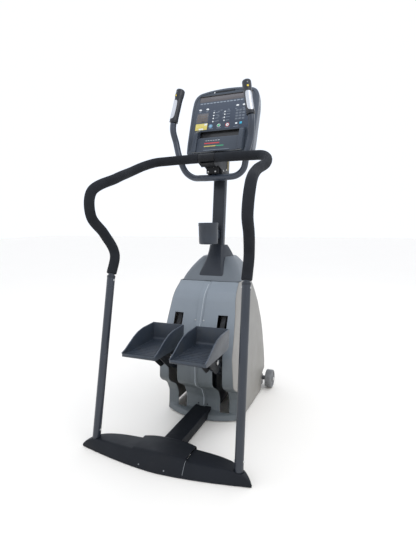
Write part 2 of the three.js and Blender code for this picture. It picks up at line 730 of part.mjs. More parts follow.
// A point on the arm's centre line, moved up square to it.
const onArm = (t, rise) => [
  lerp(PEDAL_PIN.y, PIVOT.y, t) - rise * Math.sin(armTurn),
  lerp(PEDAL_PIN.z, PIVOT.z, t) + rise * Math.cos(armTurn),
];
const armHollow = plateX(
  [onArm(0.1, -40), onArm(0.9, -40), onArm(0.9, 13), onArm(0.1, 13)],
  [ARM_X[0] + 4, ARM_X[1] - 4],
);
const lugOutline = [
  onArm(0.1, 14),
  onArm(0.2, 14),
  [STRAP_END.y + 14, STRAP_END.z - 1],
  [STRAP_END.y - 12, STRAP_END.z - 1],
];
const strapLug = plateX(lugOutline, [ARM_X[0] + 2, ARM_X[1] - 2]);
const arm = join(cut(armOuter, armHollow), strapLug);
pair("pedal_arm", arm, PAINT);

const linkShape = strut(offset(PEDAL_PIN), offset(PIVOT), 11, 11);
const levelLink = plateX(linkShape, LINK_X, [
  { ...offset(PEDAL_PIN), r: 7.5, sides: 12 },
  { ...offset(PIVOT), r: 6.4, sides: 12 },
]);
pair("level_link", levelLink, PAINT);

// Pedal brackets hang under the pedals and carry both pedal-end pivots.
const BRACKET_IN = [103, 147];
const BRACKET_OUT = [98.5, 151.5];
const bracketSide = [
  [-326, 446.5],
  [-326, 430],
  [-206, 326],
  [-172, 326],
  [-160, 345],
  [-160, 446.5],
];
const bracketHoles = [{ ...PEDAL_PIN, r: PIN_RADIUS + 0.3 }];
const linkPin = offset(PEDAL_PIN);
const pedalBracket = join(
  plateX(bracketSide, [BRACKET_OUT[0], BRACKET_IN[0]], bracketHoles),
  plateX(bracketSide, [BRACKET_IN[1], BRACKET_OUT[1]], bracketHoles),
  box([BRACKET_OUT[0], BRACKET_OUT[1]], [-326, -160], [441.5, 446.5]),
  cylinderX([BRACKET_OUT[0] + 1, BRACKET_OUT[1] - 1], linkPin.y, linkPin.z, 5, 12),
);
pair("pedal_bracket", pedalBracket, PAINT);
const pedalPin = join(
  cylinderX([BRACKET_OUT[0] - 1, BRACKET_OUT[1] + 1], PEDAL_PIN.y, PEDAL_PIN.z, PIN_RADIUS, 16),
  cylinderX([BRACKET_OUT[1] + GAP, BRACKET_OUT[1] + 7], PEDAL_PIN.y, PEDAL_PIN.z, 13, 6),
  cylinderX([BRACKET_OUT[0] - 6, BRACKET_OUT[0] - GAP], PEDAL_PIN.y, PEDAL_PIN.z, 13, 6),
);
pair("pedal_pin", pedalPin, STEEL);

const pedalOutline = [
  [-465, 466],
  [-460, 455],
  [-436, 450],
  [-200, 447],
  [-170, 456],
  [-158, 540],
  [-163, 543],
  [-270, 541],
  [-318, 533],
  [-355, 519],
  [-432, 479],
  [-460, 471],
];
const traySpace = [
  [-470, 469],
  [-452, 468],
  [-438, 461],
  [-190, 459],
  [-178, 466],
  [-169, 560],
  [-470, 560],
];
const pedal = cut(
  plateX(pedalOutline, PEDAL_X),
  plateX(traySpace, [PEDAL_X[0] + 5, PEDAL_X[1] - 5]),
);
pair("pedal", pedal, PEDAL_PLASTIC);

// ---- strap drive and alternator --------------------------------------------------------
const drumProfile = [
  [12.8, 0],
  [36, 0],
  [30, 4],
  [30, 16],
  [46, 19],
  [DRUM.r, 21],
  [DRUM.r, 56],
  [46, 59],
  [12.8, 59],
];
pair("strap_drum", turnedX(drumProfile, 82, DRUM.y, DRUM.z, 14), ALLOY);

const PULLEY_X = [60, 76];
const DRIVE_RADIUS = 46;
const ROTOR_PULLEY_RADIUS = 16;
const clutchShaft = join(
  cylinderX([-150, 150], DRUM.y, DRUM.z, 12, 16),
  cylinderX(PULLEY_X, DRUM.y, DRUM.z, DRIVE_RADIUS, 24),
);
piece("drive_shaft", clutchShaft, STEEL);
const rotor = join(
  cylinderX([-38, 80], ROTOR.y, ROTOR.z, 8, 12),
  cylinderX(PULLEY_X, ROTOR.y, ROTOR.z, ROTOR_PULLEY_RADIUS, 16),
);
piece("alternator_rotor", rotor, STEEL);
const statorCase = cut(
  cylinderX([-42, 42], ROTOR.y, ROTOR.z, 52, 20),
  cylinderX([-60, 60], ROTOR.y, ROTOR.z, 9, 12),
);
piece("alternator_case", statorCase, ALLOY);

// The belt's outer outline wraps both pulleys.
const beltLoop = (extra) => strut(DRUM, ROTOR, DRIVE_RADIUS + extra, ROTOR_PULLEY_RADIUS + extra);
const beltX = [PULLEY_X[0] + 2, PULLEY_X[1] - 2];
const driveBelt = cut(
  plateX(beltLoop(4.5), beltX),
  plateX(beltLoop(1.8), [beltX[0] - 1, beltX[1] + 1]),
);
piece("drive_belt", driveBelt, BELT);

// Each strap leaves the back of its drum and runs down to its arm.
const STRAP_X = [112, 136];
const strapLean = Math.atan2(DRUM.y - STRAP_END.y - DRUM.r * 0.85, DRUM.z - STRAP_END.z);
const strapTop = {
  y: DRUM.y - (DRUM.r + 2) * Math.cos(strapLean),
  z: DRUM.z + (DRUM.r + 2) * Math.sin(strapLean),
};
const strapSide = [
  [STRAP_END.y, STRAP_END.z],
  [strapTop.y, strapTop.z],
  [strapTop.y - 3, strapTop.z + 1],
  [STRAP_END.y - 4, STRAP_END.z],
];
pair("drive_strap", plateX(strapSide, STRAP_X), BELT);

// An extension spring and its cord hang from each drum and wind the strap back.
const SPRING = { x: 92, y: 107, z0: 80, z1: 250, cordTop: 606 };
const coils = 6;
const springProfile = [[0, 0], [5, 0]];
for (let i = 0; i < coils; i++) {
  const base = 10 + (i * (SPRING.z1 - SPRING.z0 - 20)) / coils;
  springProfile.push([5, base], [9, base + 7], [9, base + 16]);
}
const springTop = SPRING.z1 - SPRING.z0;
const cordTop = SPRING.cordTop - SPRING.z0;
springProfile.push([5, springTop], [2.5, springTop + 4], [2.5, cordTop], [0, cordTop]);
const springLathe = new THREE.LatheGeometry(lathePoints(springProfile), 6);
springLathe.rotateX(Math.PI / 2).translate(SPRING.x, SPRING.y, SPRING.z0);
const spring = toSolid(springLathe);
pair("return_spring", spring, STEEL);

// ---- console ---------------------------------------------------------------------------
// Local axes: X across, Y up the face, Z out of the face towards the user.
const consoleGroup = new THREE.Group();
consoleGroup.position.set(...CONSOLE_BOTTOM);
consoleGroup.rotation.x = CONSOLE_TILT;
machine.add(consoleGroup);

const FACE_OUTLINE = [
  [185, 0],
  [194, 8],
  [CONSOLE_HALF_WIDTH, 60],
  [CONSOLE_HALF_WIDTH + 3, 290],
  [197, 348],
  [186, 376],
  [163, 395],
  [103, 407],
  [52, 411],
  [0, 413],
];
function faceRing(shrink, z) {
  const middle = 200;
  const half = FACE_OUTLINE.map(([x, y]) => [x * shrink, middle + (y - middle) * shrink, z]);
  const left = half.slice(0, -1).reverse();
  return [...half, ...left.map(([x, y]) => [-x, y, z])];
}
const recess = (xs, ys, depth) => box(xs, ys, [-depth, 30]);
const faceBody = loft([faceRing(1, -26), faceRing(1, -6), faceRing(0.975, 0)]);
const consoleFace = cut(
  faceBody,
  recess([-160, 160], [334, 374], 7),
  recess([-146, 146], [91, 140], 18),
  box([-170, 170], [152, 326], [-40, -6]),
  box([-170, 170], [14, 84], [-40, -6]),
);
piece("console_face", consoleFace, FACE_BLUE, consoleGroup);
piece("display_lens", box([-159.5, 159.5], [334.5, 373.5], [-6.5, -4.5]), LENS, consoleGroup);
const consoleBack = cut(
  loft([faceRing(0.93, -88), faceRing(0.985, -60), faceRing(1, -26.4)]),
  loft([faceRing(0.9, -84), faceRing(0.96, -60), faceRing(0.97, -20)]),
);
piece("console_housing", consoleBack, CONSOLE_GREY, consoleGroup);
// The rack is a shelf front between two end cheeks, below the slot.
const RACK_HALF = 146;
const rackSide = [[4, GAP], [-9, 30], [80, 30], [80, GAP]];
const rackEndSide = [[6, GAP], [-12, 38], [112, 38], [147, GAP]];
const rackFront = plateX(rackSide, [-RACK_HALF + 12, RACK_HALF - 12]);
const rackEnd = plateX(rackEndSide, [RACK_HALF - 24, RACK_HALF]);
const rack = join(rackFront, rackEnd, mirrorX(rackEnd));
piece("reading_rack", rack, CONSOLE_GREY, consoleGroup);

export default machine;
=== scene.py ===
import json
import math

import bmesh
import bpy
from mathutils import Matrix, Vector, noise

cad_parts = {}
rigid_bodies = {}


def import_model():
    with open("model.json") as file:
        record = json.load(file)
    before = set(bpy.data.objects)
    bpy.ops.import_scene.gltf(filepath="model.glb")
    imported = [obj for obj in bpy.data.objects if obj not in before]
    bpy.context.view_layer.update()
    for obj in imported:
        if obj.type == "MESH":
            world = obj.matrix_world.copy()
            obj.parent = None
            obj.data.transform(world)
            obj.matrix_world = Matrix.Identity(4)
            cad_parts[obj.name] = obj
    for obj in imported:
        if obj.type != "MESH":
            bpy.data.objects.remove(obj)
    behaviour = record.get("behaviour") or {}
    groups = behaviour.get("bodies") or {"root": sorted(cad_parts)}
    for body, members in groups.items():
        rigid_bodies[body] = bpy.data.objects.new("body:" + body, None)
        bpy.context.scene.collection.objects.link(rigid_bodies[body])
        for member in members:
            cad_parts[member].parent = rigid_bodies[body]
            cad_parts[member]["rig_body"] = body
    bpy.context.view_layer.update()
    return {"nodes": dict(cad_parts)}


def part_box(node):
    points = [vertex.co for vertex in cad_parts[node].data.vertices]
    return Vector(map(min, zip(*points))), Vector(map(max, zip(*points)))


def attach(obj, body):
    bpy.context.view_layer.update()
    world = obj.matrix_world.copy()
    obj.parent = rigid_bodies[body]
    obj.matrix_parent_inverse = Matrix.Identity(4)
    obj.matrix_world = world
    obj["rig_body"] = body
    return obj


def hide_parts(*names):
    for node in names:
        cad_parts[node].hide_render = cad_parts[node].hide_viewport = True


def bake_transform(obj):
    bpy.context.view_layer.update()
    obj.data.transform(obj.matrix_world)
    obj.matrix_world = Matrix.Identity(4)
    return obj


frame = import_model()
NODES = frame["nodes"]
BODY_OF = {n: NODES[n]["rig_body"] for n in NODES}
MM = 0.001  # shapes below are written in millimetres, in the row frame


# ---- procedural materials ---------------------------------------------------------------
class Surface:
    """A principled material whose colour, roughness and bump are built up in layers."""

    def __init__(self, name, colour, roughness, **constants):
        self.material = bpy.data.materials.new(name)
        self.material.use_nodes = True
        self.tree = self.material.node_tree
        self.shader = self.tree.nodes["Principled BSDF"]
        self.place = self.node("ShaderNodeTexCoord").outputs["Object"]
        self.colour = None
        self.base = (*colour, 1)
        self.shader.inputs["Base Color"].default_value = self.base
        self.shader.inputs["Roughness"].default_value = roughness
        self.roughness = roughness
        self.bump = None
        for socket, value in constants.items():
            self.shader.inputs[socket.replace("_", " ")].default_value = value
        self.material.diffuse_color = self.base

    def node(self, kind, links=(), **settings):
        made = self.tree.nodes.new(kind)
        for key, value in settings.items():
            setattr(made, key, value)
        for socket, source in dict(links).items():
            if isinstance(source, bpy.types.NodeSocket):
                self.tree.links.new(source, made.inputs[socket])
            else:
                made.inputs[socket].default_value = source
        return made

    def stretched(self, scale):
        return self.node("ShaderNodeMapping", {"Vector": self.place, "Scale": scale}).outputs[0]

    def noise(self, scale, detail=4, stretch=None, roughness=0.55):
        where = self.stretched(stretch) if stretch else self.place
        links = {"Vector": where, "Scale": scale, "Detail": detail, "Roughness": roughness}
        return self.node("ShaderNodeTexNoise", links).outputs["Fac"]

    def cells(self, scale):
        return self.node("ShaderNodeTexVoronoi", {"Vector": self.place, "Scale": scale}).outputs["Distance"]

    def ramp(self, value, low, high, to_low=0.0, to_high=1.0):
        links = {"Value": value, "From Min": low, "From Max": high, "To Min": to_low, "To Max": to_high}
        return self.node("ShaderNodeMapRange", links).outputs["Result"]

    def height(self, low, high):
        """0 below one height above the floor and 1 above another, in metres."""
        split = self.node("ShaderNodeSeparateXYZ", {"Vector": self.place})
        return self.ramp(split.outputs["Z"], low, high)

    def times(self, a, b):
        return self.node("ShaderNodeMath", {0: a, 1: b}, operation="MULTIPLY").outputs[0]

    def tint(self, share, colour):
        """Mixes a colour in by a share that varies over the surface."""
        mix = self.node("ShaderNodeMix", data_type="RGBA")
        self.tree.links.new(share, mix.inputs[0])
        if self.colour is None:
            mix.inputs[6].default_value = self.base
        else:
            self.tree.links.new(self.colour, mix.inputs[6])
        mix.inputs[7].default_value = (*colour, 1)
        self.colour = mix.outputs[2]
        self.tree.links.new(self.colour, self.shader.inputs["Base Color"])
        return self

    def mottle(self, scale, detail, low, high, amount, colour):
        """Cloudy patches of another colour."""
        return self.tint(self.ramp(self.noise(scale, detail), low, high, 0, amount), colour)

    def rough(self, share, spread):
        """Roughness swings by the spread as the share goes from 0 to 1."""
        low, high = self.roughness - spread / 2, self.roughness + spread / 2
        self.tree.links.new(self.ramp(share, 0.3, 0.7, low, high), self.shader.inputs["Roughness"])
        return self

    def relief(self, height, strength, distance=0.0006):
        links = {"Height": height, "Strength": strength, "Distance": distance}
        made = self.node("ShaderNodeBump", links)
        if self.bump is not None:
            self.tree.links.new(self.bump, made.inputs["Normal"])
        self.bump = made.outputs[0]
        self.tree.links.new(self.bump, self.shader.inputs["Normal"])
        return self

    def scuffs(self, colour, amount, stretch=(30, 30, 4)):
        """Thin pale marks, gathered in patches."""
        lines = self.ramp(self.noise(9, 6, stretch, 0.7), 0.62, 0.72)
        patches = self.ramp(self.noise(7, 3), 0.45, 0.7, 0, amount)
        return self.tint(self.times(lines, patches), colour)

    def specks(self, colour, amount, scale=160):
        dots = self.ramp(self.noise(scale, 2), 0.68, 0.74)
        patches = self.ramp(self.noise(6, 2), 0.4, 0.7, 0, amount)
        return self.tint(self.times(dots, patches), colour)


def moulded(name, colour, roughness, grain=900, depth=0.12, lighter=1.5, **constants):
    """Moulded plastic: a fine spark-eroded grain, slow mottling and handling sheen."""
    made = Surface(name, colour, roughness, **constants)
    pale = tuple(min(1, c * lighter + 0.002) for c in colour)
    made.mottle(5, 3, 0.35, 0.75, 0.55, pale)
    made.rough(made.noise(11, 4), 0.14)
    made.relief(made.cells(grain), depth, 0.0003)
    made.relief(made.noise(60, 3), 0.05, 0.001)
    return made


def painted(name, colour, roughness=0.34, coat=0.25, specular=0.5):
    """Powder coat over steel: orange peel, a faint metallic depth and rubbed places."""
    constants = {"Coat_Weight": coat, "Coat_Roughness": 0.28, "Specular_IOR_Level": specular}
    made = Surface(name, colour, roughness, Metallic=0.15, **constants)
    pale = tuple(c * 1.9 + 0.004 for c in colour)
    made.mottle(4, 3, 0.4, 0.75, 0.5, pale)
    made.scuffs((0.16, 0.16, 0.165), 0.35)
    made.rough(made.noise(14, 4), 0.16)
    made.relief(made.noise(420, 2), 0.12, 0.0004)
    return made


def bare_metal(name, colour, roughness, stretch=(8, 300, 300)):
    """Turned or drawn metal, with fine lines along one way and dull patches."""
    made = Surface(name, colour, roughness, Metallic=1.0)
    made.mottle(12, 5, 0.4, 0.8, 0.5, tuple(c * 0.6 for c in colour))
    made.rough(made.noise(1, 4, stretch), 0.18)
    made.relief(made.noise(1, 3, stretch), 0.12, 0.0002)
    return made


def foam_surface():
    """Closed-cell foam: tiny pores, a soft bloom and compression marks."""
    made = Surface("foam_rail", (0.0098, 0.0112, 0.0140), 0.86, Specular_IOR_Level=0.25)
    made.mottle(6, 4, 0.4, 0.75, 0.7, (0.020, 0.0230, 0.0290))
    made.specks((0.06, 0.06, 0.06), 0.25, 240)
    made.rough(made.noise(20, 3), 0.14)
    made.relief(made.cells(1300), 0.35, 0.0004)
    made.relief(made.noise(70, 3), 0.12, 0.0012)
    return made


def shell_surface():
    """Warm grey shroud moulding, dirtier and browner towards the floor."""
    made = moulded("shroud_shell", (0.252, 0.244, 0.228), 0.5, 700, 0.1, 1.12)
    low = made.ramp(made.height(0.0, 0.42), 0, 1, 0.7, 0)
    made.tint(made.times(low, made.noise(3, 4)), (0.21, 0.19, 0.155))
    made.scuffs((0.42, 0.41, 0.39), 0.5, (12, 12, 3))
    made.specks((0.10, 0.09, 0.07), 0.8, 130)
    return made


def panel_surface():
    """The blue-grey rear panel, darker and greener below the step, with painted light brightening its upper
    part in broad patches.
    """
    made = moulded("shroud_panel", (0.204, 0.232, 0.258), 0.46, 700, 0.1, 1.12)
    low = made.ramp(made.height(0.24, 0.44), 0, 1, 0.85, 0)
    made.tint(low, (0.088, 0.101, 0.104))
    # Painted light: broad lighter patches over the upper part, as if lit from above.
    made.tint(made.times(made.height(0.45, 0.75), made.noise(2, 2)), (0.262, 0.290, 0.318))
    made.scuffs((0.34, 0.37, 0.40), 0.45, (10, 10, 3))
    made.specks((0.07, 0.07, 0.065), 0.7, 130)
    return made


def cap_surface():
    """The top cap, a darker blue-grey than the panel."""
    made = moulded("shroud_cap", (0.127, 0.143, 0.158), 0.48, 700, 0.1, 1.12)
    made.scuffs((0.24, 0.26, 0.28), 0.4, (10, 10, 3))
    made.specks((0.07, 0.07, 0.065), 0.6, 130)
    return made


def tray_surface():
    """The pedals' plastic, rubbed grey where shoes stand."""
    made = moulded("pedal_tray", (0.024, 0.032, 0.045), 0.42, 520, 0.2, 1.6)
    made.mottle(22, 6, 0.5, 0.75, 0.4, (0.062, 0.062, 0.056))
    made.scuffs((0.15, 0.15, 0.14), 0.55, (6, 40, 40))
    return made


def base_surface():
    """The base's satin covers, with dust on top and shoe marks."""
    made = moulded("base_cover", (0.0060, 0.0074, 0.0105), 0.46, 600, 0.16, 1.5, Specular_IOR_Level=0.2)
    made.mottle(3, 4, 0.5, 0.8, 0.4, (0.026, 0.024, 0.021))
    made.scuffs((0.12, 0.115, 0.11), 0.45, (5, 30, 30))
    return made


def rubber_surface(name, colour, dust=0.4):
    made = Surface(name, colour, 0.72)
    pale = tuple(c * 1.5 + 0.04 for c in colour)
    made.mottle(30, 5, 0.45, 0.75, dust, pale)
    made.rough(made.noise(40, 3), 0.15)
    made.relief(made.noise(260, 3), 0.25, 0.0005)
    return made


def gloss_surface(name, colour, roughness=0.16):
    made = Surface(name, colour, roughness, Coat_Weight=0.6, Coat_Roughness=0.08)
    made.mottle(60, 3, 0.45, 0.8, 0.35, tuple(c * 0.75 for c in colour))
    made.rough(made.noise(90, 3), 0.08)
    made.relief(made.noise(300, 2), 0.03, 0.0003)
    return made


def belt_surface():
    made = Surface("belt_rubber", (0.012, 0.012, 0.013), 0.7)
    made.mottle(50, 4, 0.45, 0.8, 0.6, (0.05, 0.05, 0.055))
    weave = made.node("ShaderNodeTexWave", {"Vector": made.place, "Scale": 160.0, "Distortion": 0.6})
    made.relief(weave.outputs["Fac"], 0.35, 0.0006)
    made.rough(made.noise(30, 3), 0.12)
    return made


LOOKS = {
    "paint": painted("frame_powder_coat", (0.0175, 0.0225, 0.0315)),
    "bracket": painted("bracket_powder_coat", (0.0070, 0.0078, 0.0100), 0.5, 0.05, 0.25),
    "spine": painted("spine_powder_coat", (0.0050, 0.0062, 0.0090), 0.5, 0.02, 0.18),
    "column": painted("column_powder_coat", (0.0105, 0.0135, 0.0190), 0.4, 0.15, 0.4),
    "handle": painted("handle_powder_coat", (0.029, 0.038, 0.055)),
    "cap": cap_surface(),
    "cup": moulded("cup_moulding", (0.024, 0.031, 0.043), 0.42),
    # A lighter moulding whose colour is a painted highlight, used on the pedal lips and down the column's
    # edge.
    "lip_highlight": moulded("pedal_lip_highlight", (0.060, 0.074, 0.095), 0.36),
    # Pale moulding for screws and marks; on the base seam bead its paleness is a painted highlight.
    "seam": moulded("pale_marks_and_seam_highlight", (0.20, 0.21, 0.22), 0.4),
    # Pale moulding for the bead on the panel's rib: its colour is a painted highlight.
    "ridge": moulded("panel_ridge_highlight", (0.38, 0.41, 0.44), 0.4),
    "segment": gloss_surface("dim_segment", (0.105, 0.075, 0.045), 0.4),
    "base": base_surface(),
    "dark": moulded("dark_moulding", (0.0105, 0.0140, 0.0210), 0.4),
    "grip": moulded("grip_moulding", (0.0135, 0.016, 0.021), 0.36, 500, 0.18),
    "foam": foam_surface(),
    "shell": shell_surface(),
    "panel": panel_surface(),
    "tray": tray_surface(),
    "steel": bare_metal("bright_steel", (0.62, 0.62, 0.61), 0.3),
    "brass": bare_metal("brass_strip", (0.36, 0.29, 0.13), 0.4),
    "alloy": bare_metal("cast_alloy", (0.55, 0.56, 0.57), 0.42, (60, 60, 60)),
    "contact": bare_metal("contact_plate", (0.60, 0.61, 0.63), 0.34, (300, 300, 20)),
    "rubber": rubber_surface("black_rubber", (0.015, 0.015, 0.015)),
    "wheel": rubber_surface("wheel_rubber", (0.17, 0.172, 0.175), 0.6),
    "console": moulded("console_moulding", (0.042, 0.053, 0.071), 0.4, 800, 0.12, 1.25),
    "face": moulded("console_overlay", (0.031, 0.043, 0.068), 0.36, 1400, 0.05, 1.2),
    "lens": gloss_surface("display_window", (0.085, 0.075, 0.078), 0.14),
    "belt": belt_surface(),
    "yellow": gloss_surface("yellow_button", (0.80, 0.60, 0.03), 0.3),
    "white_key": gloss_surface("white_key", (0.78, 0.80, 0.80), 0.35),
    "grey_key": gloss_surface("grey_key", (0.095, 0.115, 0.145), 0.4),
    "blue_key": gloss_surface("pale_blue_key", (0.22, 0.42, 0.60), 0.35),
    "cyan_key": gloss_surface("cyan_key", (0.02, 0.42, 0.62), 0.35),
    "red_key": gloss_surface("red_key", (0.62, 0.03, 0.04), 0.35),
    "green_key": gloss_surface("green_key", (0.03, 0.42, 0.18), 0.35),
    "label": gloss_surface("printed_label", (0.25, 0.29, 0.34), 0.45),
    "sticker": gloss_surface("plain_sticker", (0.66, 0.55, 0.12), 0.45),
    # Black for print, screws and small parts, also used as painted shade in the display recess and the rack
    # slot.
    "ink_and_shade": gloss_surface("black_ink_and_painted_shade", (0.004, 0.004, 0.005), 0.5),
    "battery": moulded("battery_case", (0.04, 0.042, 0.048), 0.5),
}


# ---- mesh helpers -----------------------------------------------------------------------
def finished(obj, look, body, replaces=()):
    """Gives an object its material, its body and the CAD nodes it stands for."""
    obj.data.materials.clear()
    obj.data.materials.append(LOOKS[look].material)
    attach(obj, body)
    if replaces:
        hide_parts(*replaces)
    return obj


def fixed(obj, look, slot, *replaces):
    """Finishes a piece that belongs to the still frame."""
    return finished(obj, look, "frame", replaces)


def make(name, verts, faces, angle=35, scale=MM):
    """A smooth-shaded mesh object from points in millimetres, with sharp edges kept by angle."""
    mesh = bpy.data.meshes.new(name)
    mesh.from_pydata([Vector(v) * scale for v in verts], [], faces)
    bm = bmesh.new()
    bm.from_mesh(mesh)
    bmesh.ops.remove_doubles(bm, verts=bm.verts, dist=1e-5)
    bmesh.ops.recalc_face_normals(bm, faces=bm.faces)
    bm.to_mesh(mesh)
    bm.free()
    return shaded(name, mesh, angle)


def smooth(mesh, angle):
    mesh.shade_smooth()
    mesh.set_sharp_from_angle(angle=math.radians(angle))


def shaded(name, mesh, angle=35):
    smooth(mesh, angle)
    obj = bpy.data.objects.new(name, mesh)
    bpy.context.scene.collection.objects.link(obj)
    return obj


def baked(obj):
    """The object with its modifiers applied."""
    shape = bpy.data.meshes.new_from_object(obj.evaluated_get(bpy.context.evaluated_depsgraph_get()))
    obj.modifiers.clear()
    obj.data = shape
    return obj


def thickened(obj, thickness, offset=-1):
    solid = obj.modifiers.new("thickness", "SOLIDIFY")
    solid.thickness = thickness * MM
    solid.offset = offset
    return baked(obj)


def bevelled(obj, width, segments=2, angle=32):
    """Rounds the edges sharper than an angle."""
    bevel = obj.modifiers.new("bevel", "BEVEL")
    bevel.width = width * MM
    bevel.segments = segments
    bevel.limit_method = "ANGLE"
    bevel.angle_limit = math.radians(angle)
    baked(obj)
    smooth(obj.data, 50)
    return obj


def carved(obj, *cutters):
    """Takes the cutters away from an object, and removes them."""
    for cutter in cutters:
        cut = obj.modifiers.new("cut", "BOOLEAN")
        cut.object = cutter
        cut.operation = "DIFFERENCE"
        cut.solver = "EXACT"
        bpy.context.view_layer.update()
        baked(obj)
        bpy.data.objects.remove(cutter)
    smooth(obj.data, 35)
    return obj


def mirrored(obj, name):
    """A copy of an unparented object on the other side of the machine."""
    mesh = obj.data.copy()
    mesh.transform(Matrix.Scale(-1, 4, (1, 0, 0)))
    mesh.flip_normals()
    twin = bpy.data.objects.new(name, mesh)
    bpy.context.scene.collection.objects.link(twin)
    return twin


def pair(obj, stem, look, bodies=("frame", "frame"), replaces=True):
    """Finishes a right-hand piece and its mirror image."""
    twin = mirrored(obj, f"{stem}_shape_left")
    obj.name = f"{stem}_shape_right"
    nodes = lambda side: [f"{stem}_{side}"] if replaces else []
    finished(twin, look, bodies[0], nodes("left"))
    finished(obj, look, bodies[1], nodes("right"))
    return twin, obj


def skinned(rings, closed=True, ends=True):
    """Points and faces of a surface through rings of equal counts."""
    count = len(rings[0])
    verts = [p for ring in rings for p in ring]
    faces = []
    last = count if closed else count - 1
    for r in range(len(rings) - 1):
        for i in range(last):
            a, b = r * count + i, r * count + (i + 1) % count
            faces.append((a, b, b + count, a + count))
    if ends:
        faces.append(tuple(reversed(range(count))))
        faces.append(tuple((len(rings) - 1) * count + i for i in range(count)))
    return verts, faces


def skin(name, rings, closed=True, ends=True):
    """A mesh object whose surface runs through rings of equal counts."""
    return make(name, *skinned(rings, closed, ends))


def rounded(outline, radius, steps=4, closed=True):
    """An outline with each corner replaced by a smooth arc. Points may have 2 or 3 numbers."""
    points = [Vector(p) for p in outline]
    out = []
    for i, corner in enumerate(points):
        if not closed and i in (0, len(points) - 1):
            out.append(tuple(corner))
            continue
        before = points[i - 1] - corner
        after = points[(i + 1) % len(points)] - corner
        reach = min(radius, before.length * 0.48, after.length * 0.48)
        a = corner + before.normalized() * reach
        b = corner + after.normalized() * reach
        for k in range(steps + 1):
            t = k / steps
            out.append(tuple(a * (1 - t) ** 2 + corner * 2 * t * (1 - t) + b * t * t))
    return out


def catmull(points, per_span=24):
    """A centripetal Catmull-Rom curve through the points, finely sampled."""
    p = [Vector(q) for q in points]
    p = [p[0] * 2 - p[1], *p, p[-1] * 2 - p[-2]]
    out = []
    for i in range(len(p) - 3):
        a, b, c, d = p[i : i + 4]
        t1 = (b - a).length ** 0.5
        t2 = t1 + (c - b).length ** 0.5
        t3 = t2 + (d - c).length ** 0.5
        for k in range(per_span):
            t = t1 + (t2 - t1) * k / per_span
            ab = a.lerp(b, t / t1)
            bc = b.lerp(c, (t - t1) / (t2 - t1))
            cd = c.lerp(d, (t - t2) / (t3 - t2))
            abc = ab.lerp(bc, t / t2)
            bcd = bc.lerp(cd, (t - t1) / (t3 - t1))
            out.append(abc.lerp(bcd, (t - t1) / (t2 - t1)))
    out.append(p[-2])
    return out


class Path:
    """A polyline that can be read at any distance along it."""

    def __init__(self, points):
        self.points = [Vector(p) for p in points]
        self.marks = [0.0]
        for a, b in zip(self.points, self.points[1:]):
            self.marks.append(self.marks[-1] + (b - a).length)
        self.length = self.marks[-1]

    def at(self, distance):
        distance = min(max(distance, 0), self.length)
        i = 1
        while i < len(self.marks) - 1 and self.marks[i] < distance:
            i += 1
        span = self.marks[i] - self.marks[i - 1]
        return self.points[i - 1].lerp(self.points[i], (distance - self.marks[i - 1]) / max(span, 1e-9))

    def along(self, distance):
        return (self.at(distance + 1) - self.at(distance - 1)).normalized()


def swept(name, path, start, end, radius, sides=28, pitch=6.0, soften=3.0, ripple=0.0):
    """A round bar along a stretch of a path, with softened ends and an optional slight ripple.

    The radius is a number, or a function of the distance along the path.
    """
    wide = radius if callable(radius) else lambda s: radius
    turns = [k / 4 * math.pi / 2 for k in range(5)]
    ends = [(soften * (1 - math.cos(a)), soften * (1 - math.sin(a))) for a in turns]
    first, last = start + soften, end - soften
    count = max(2, int((last - first) / pitch))
    inner = [first + (last - first) * k / count for k in range(1, count)]
    stops = [(start + s, wide(start + s) - less) for s, less in ends]
    stops += [(s, wide(s)) for s in inner]
    stops += [(end - s, wide(end - s) - less) for s, less in reversed(ends)]
    direction = path.along(stops[0][0])
    side = direction.orthogonal().normalized()
    rings = []
    for s, r in stops:
        turned = path.along(s)
        side = (side - turned * side.dot(turned)).normalized()
        other = turned.cross(side)
        ring = []
        for i in range(sides):
            angle = 2 * math.pi * i / sides
            out = side * math.cos(angle) + other * math.sin(angle)
            p = path.at(s) + out * r
            if ripple:
                p -= out * ripple * (0.5 + 0.5 * noise.noise(p * 0.02))
            ring.append(p)
        rings.append(ring)
    return skin(name, rings)


def lathed(name, profile, centre, axis, sides=48, angle=35):
    """A closed profile of (radius, distance along the axis), turned about an axis."""
    axis = Vector(axis).normalized()
    side = axis.orthogonal().normalized()
    other = axis.cross(side)
    rings = []
    for i in range(sides):
        turn = 2 * math.pi * i / sides
        out = side * math.cos(turn) + other * math.sin(turn)
        rings.append([Vector(centre) + axis * a + out * r for r, a in profile])
    rings.append(rings[0])
    verts, faces = skinned(rings, closed=True, ends=False)
    return make(name, verts, faces, angle)


def block(name, lo, hi, bevel=0.0):
    """A box between two corners, with rounded edges when a bevel is given."""
    verts = [(x, y, z) for x in (lo[0], hi[0]) for y in (lo[1], hi[1]) for z in (lo[2], hi[2])]
    faces = [(0, 1, 3, 2), (4, 6, 7, 5), (0, 4, 5, 1), (2, 3, 7, 6), (0, 2, 6, 4), (1, 5, 7, 3)]
    obj = make(name, verts, faces)
    return bevelled(obj, bevel, 3) if bevel else obj


def prism(name, outline, x0, x1):
    """A (y, z) outline drawn out along X."""
    return skin(name, [[(x, y, z) for y, z in outline] for x in (x0, x1)])


def joined(name, parts):
    """Several unparented objects as one."""
    bm = bmesh.new()
    for part in parts:
        part.data.transform(part.matrix_world)
        bm.from_mesh(part.data)
        bpy.data.objects.remove(part)
    mesh = bpy.data.meshes.new(name)
    bm.to_mesh(mesh)
    bm.free()
    return shaded(name, mesh)


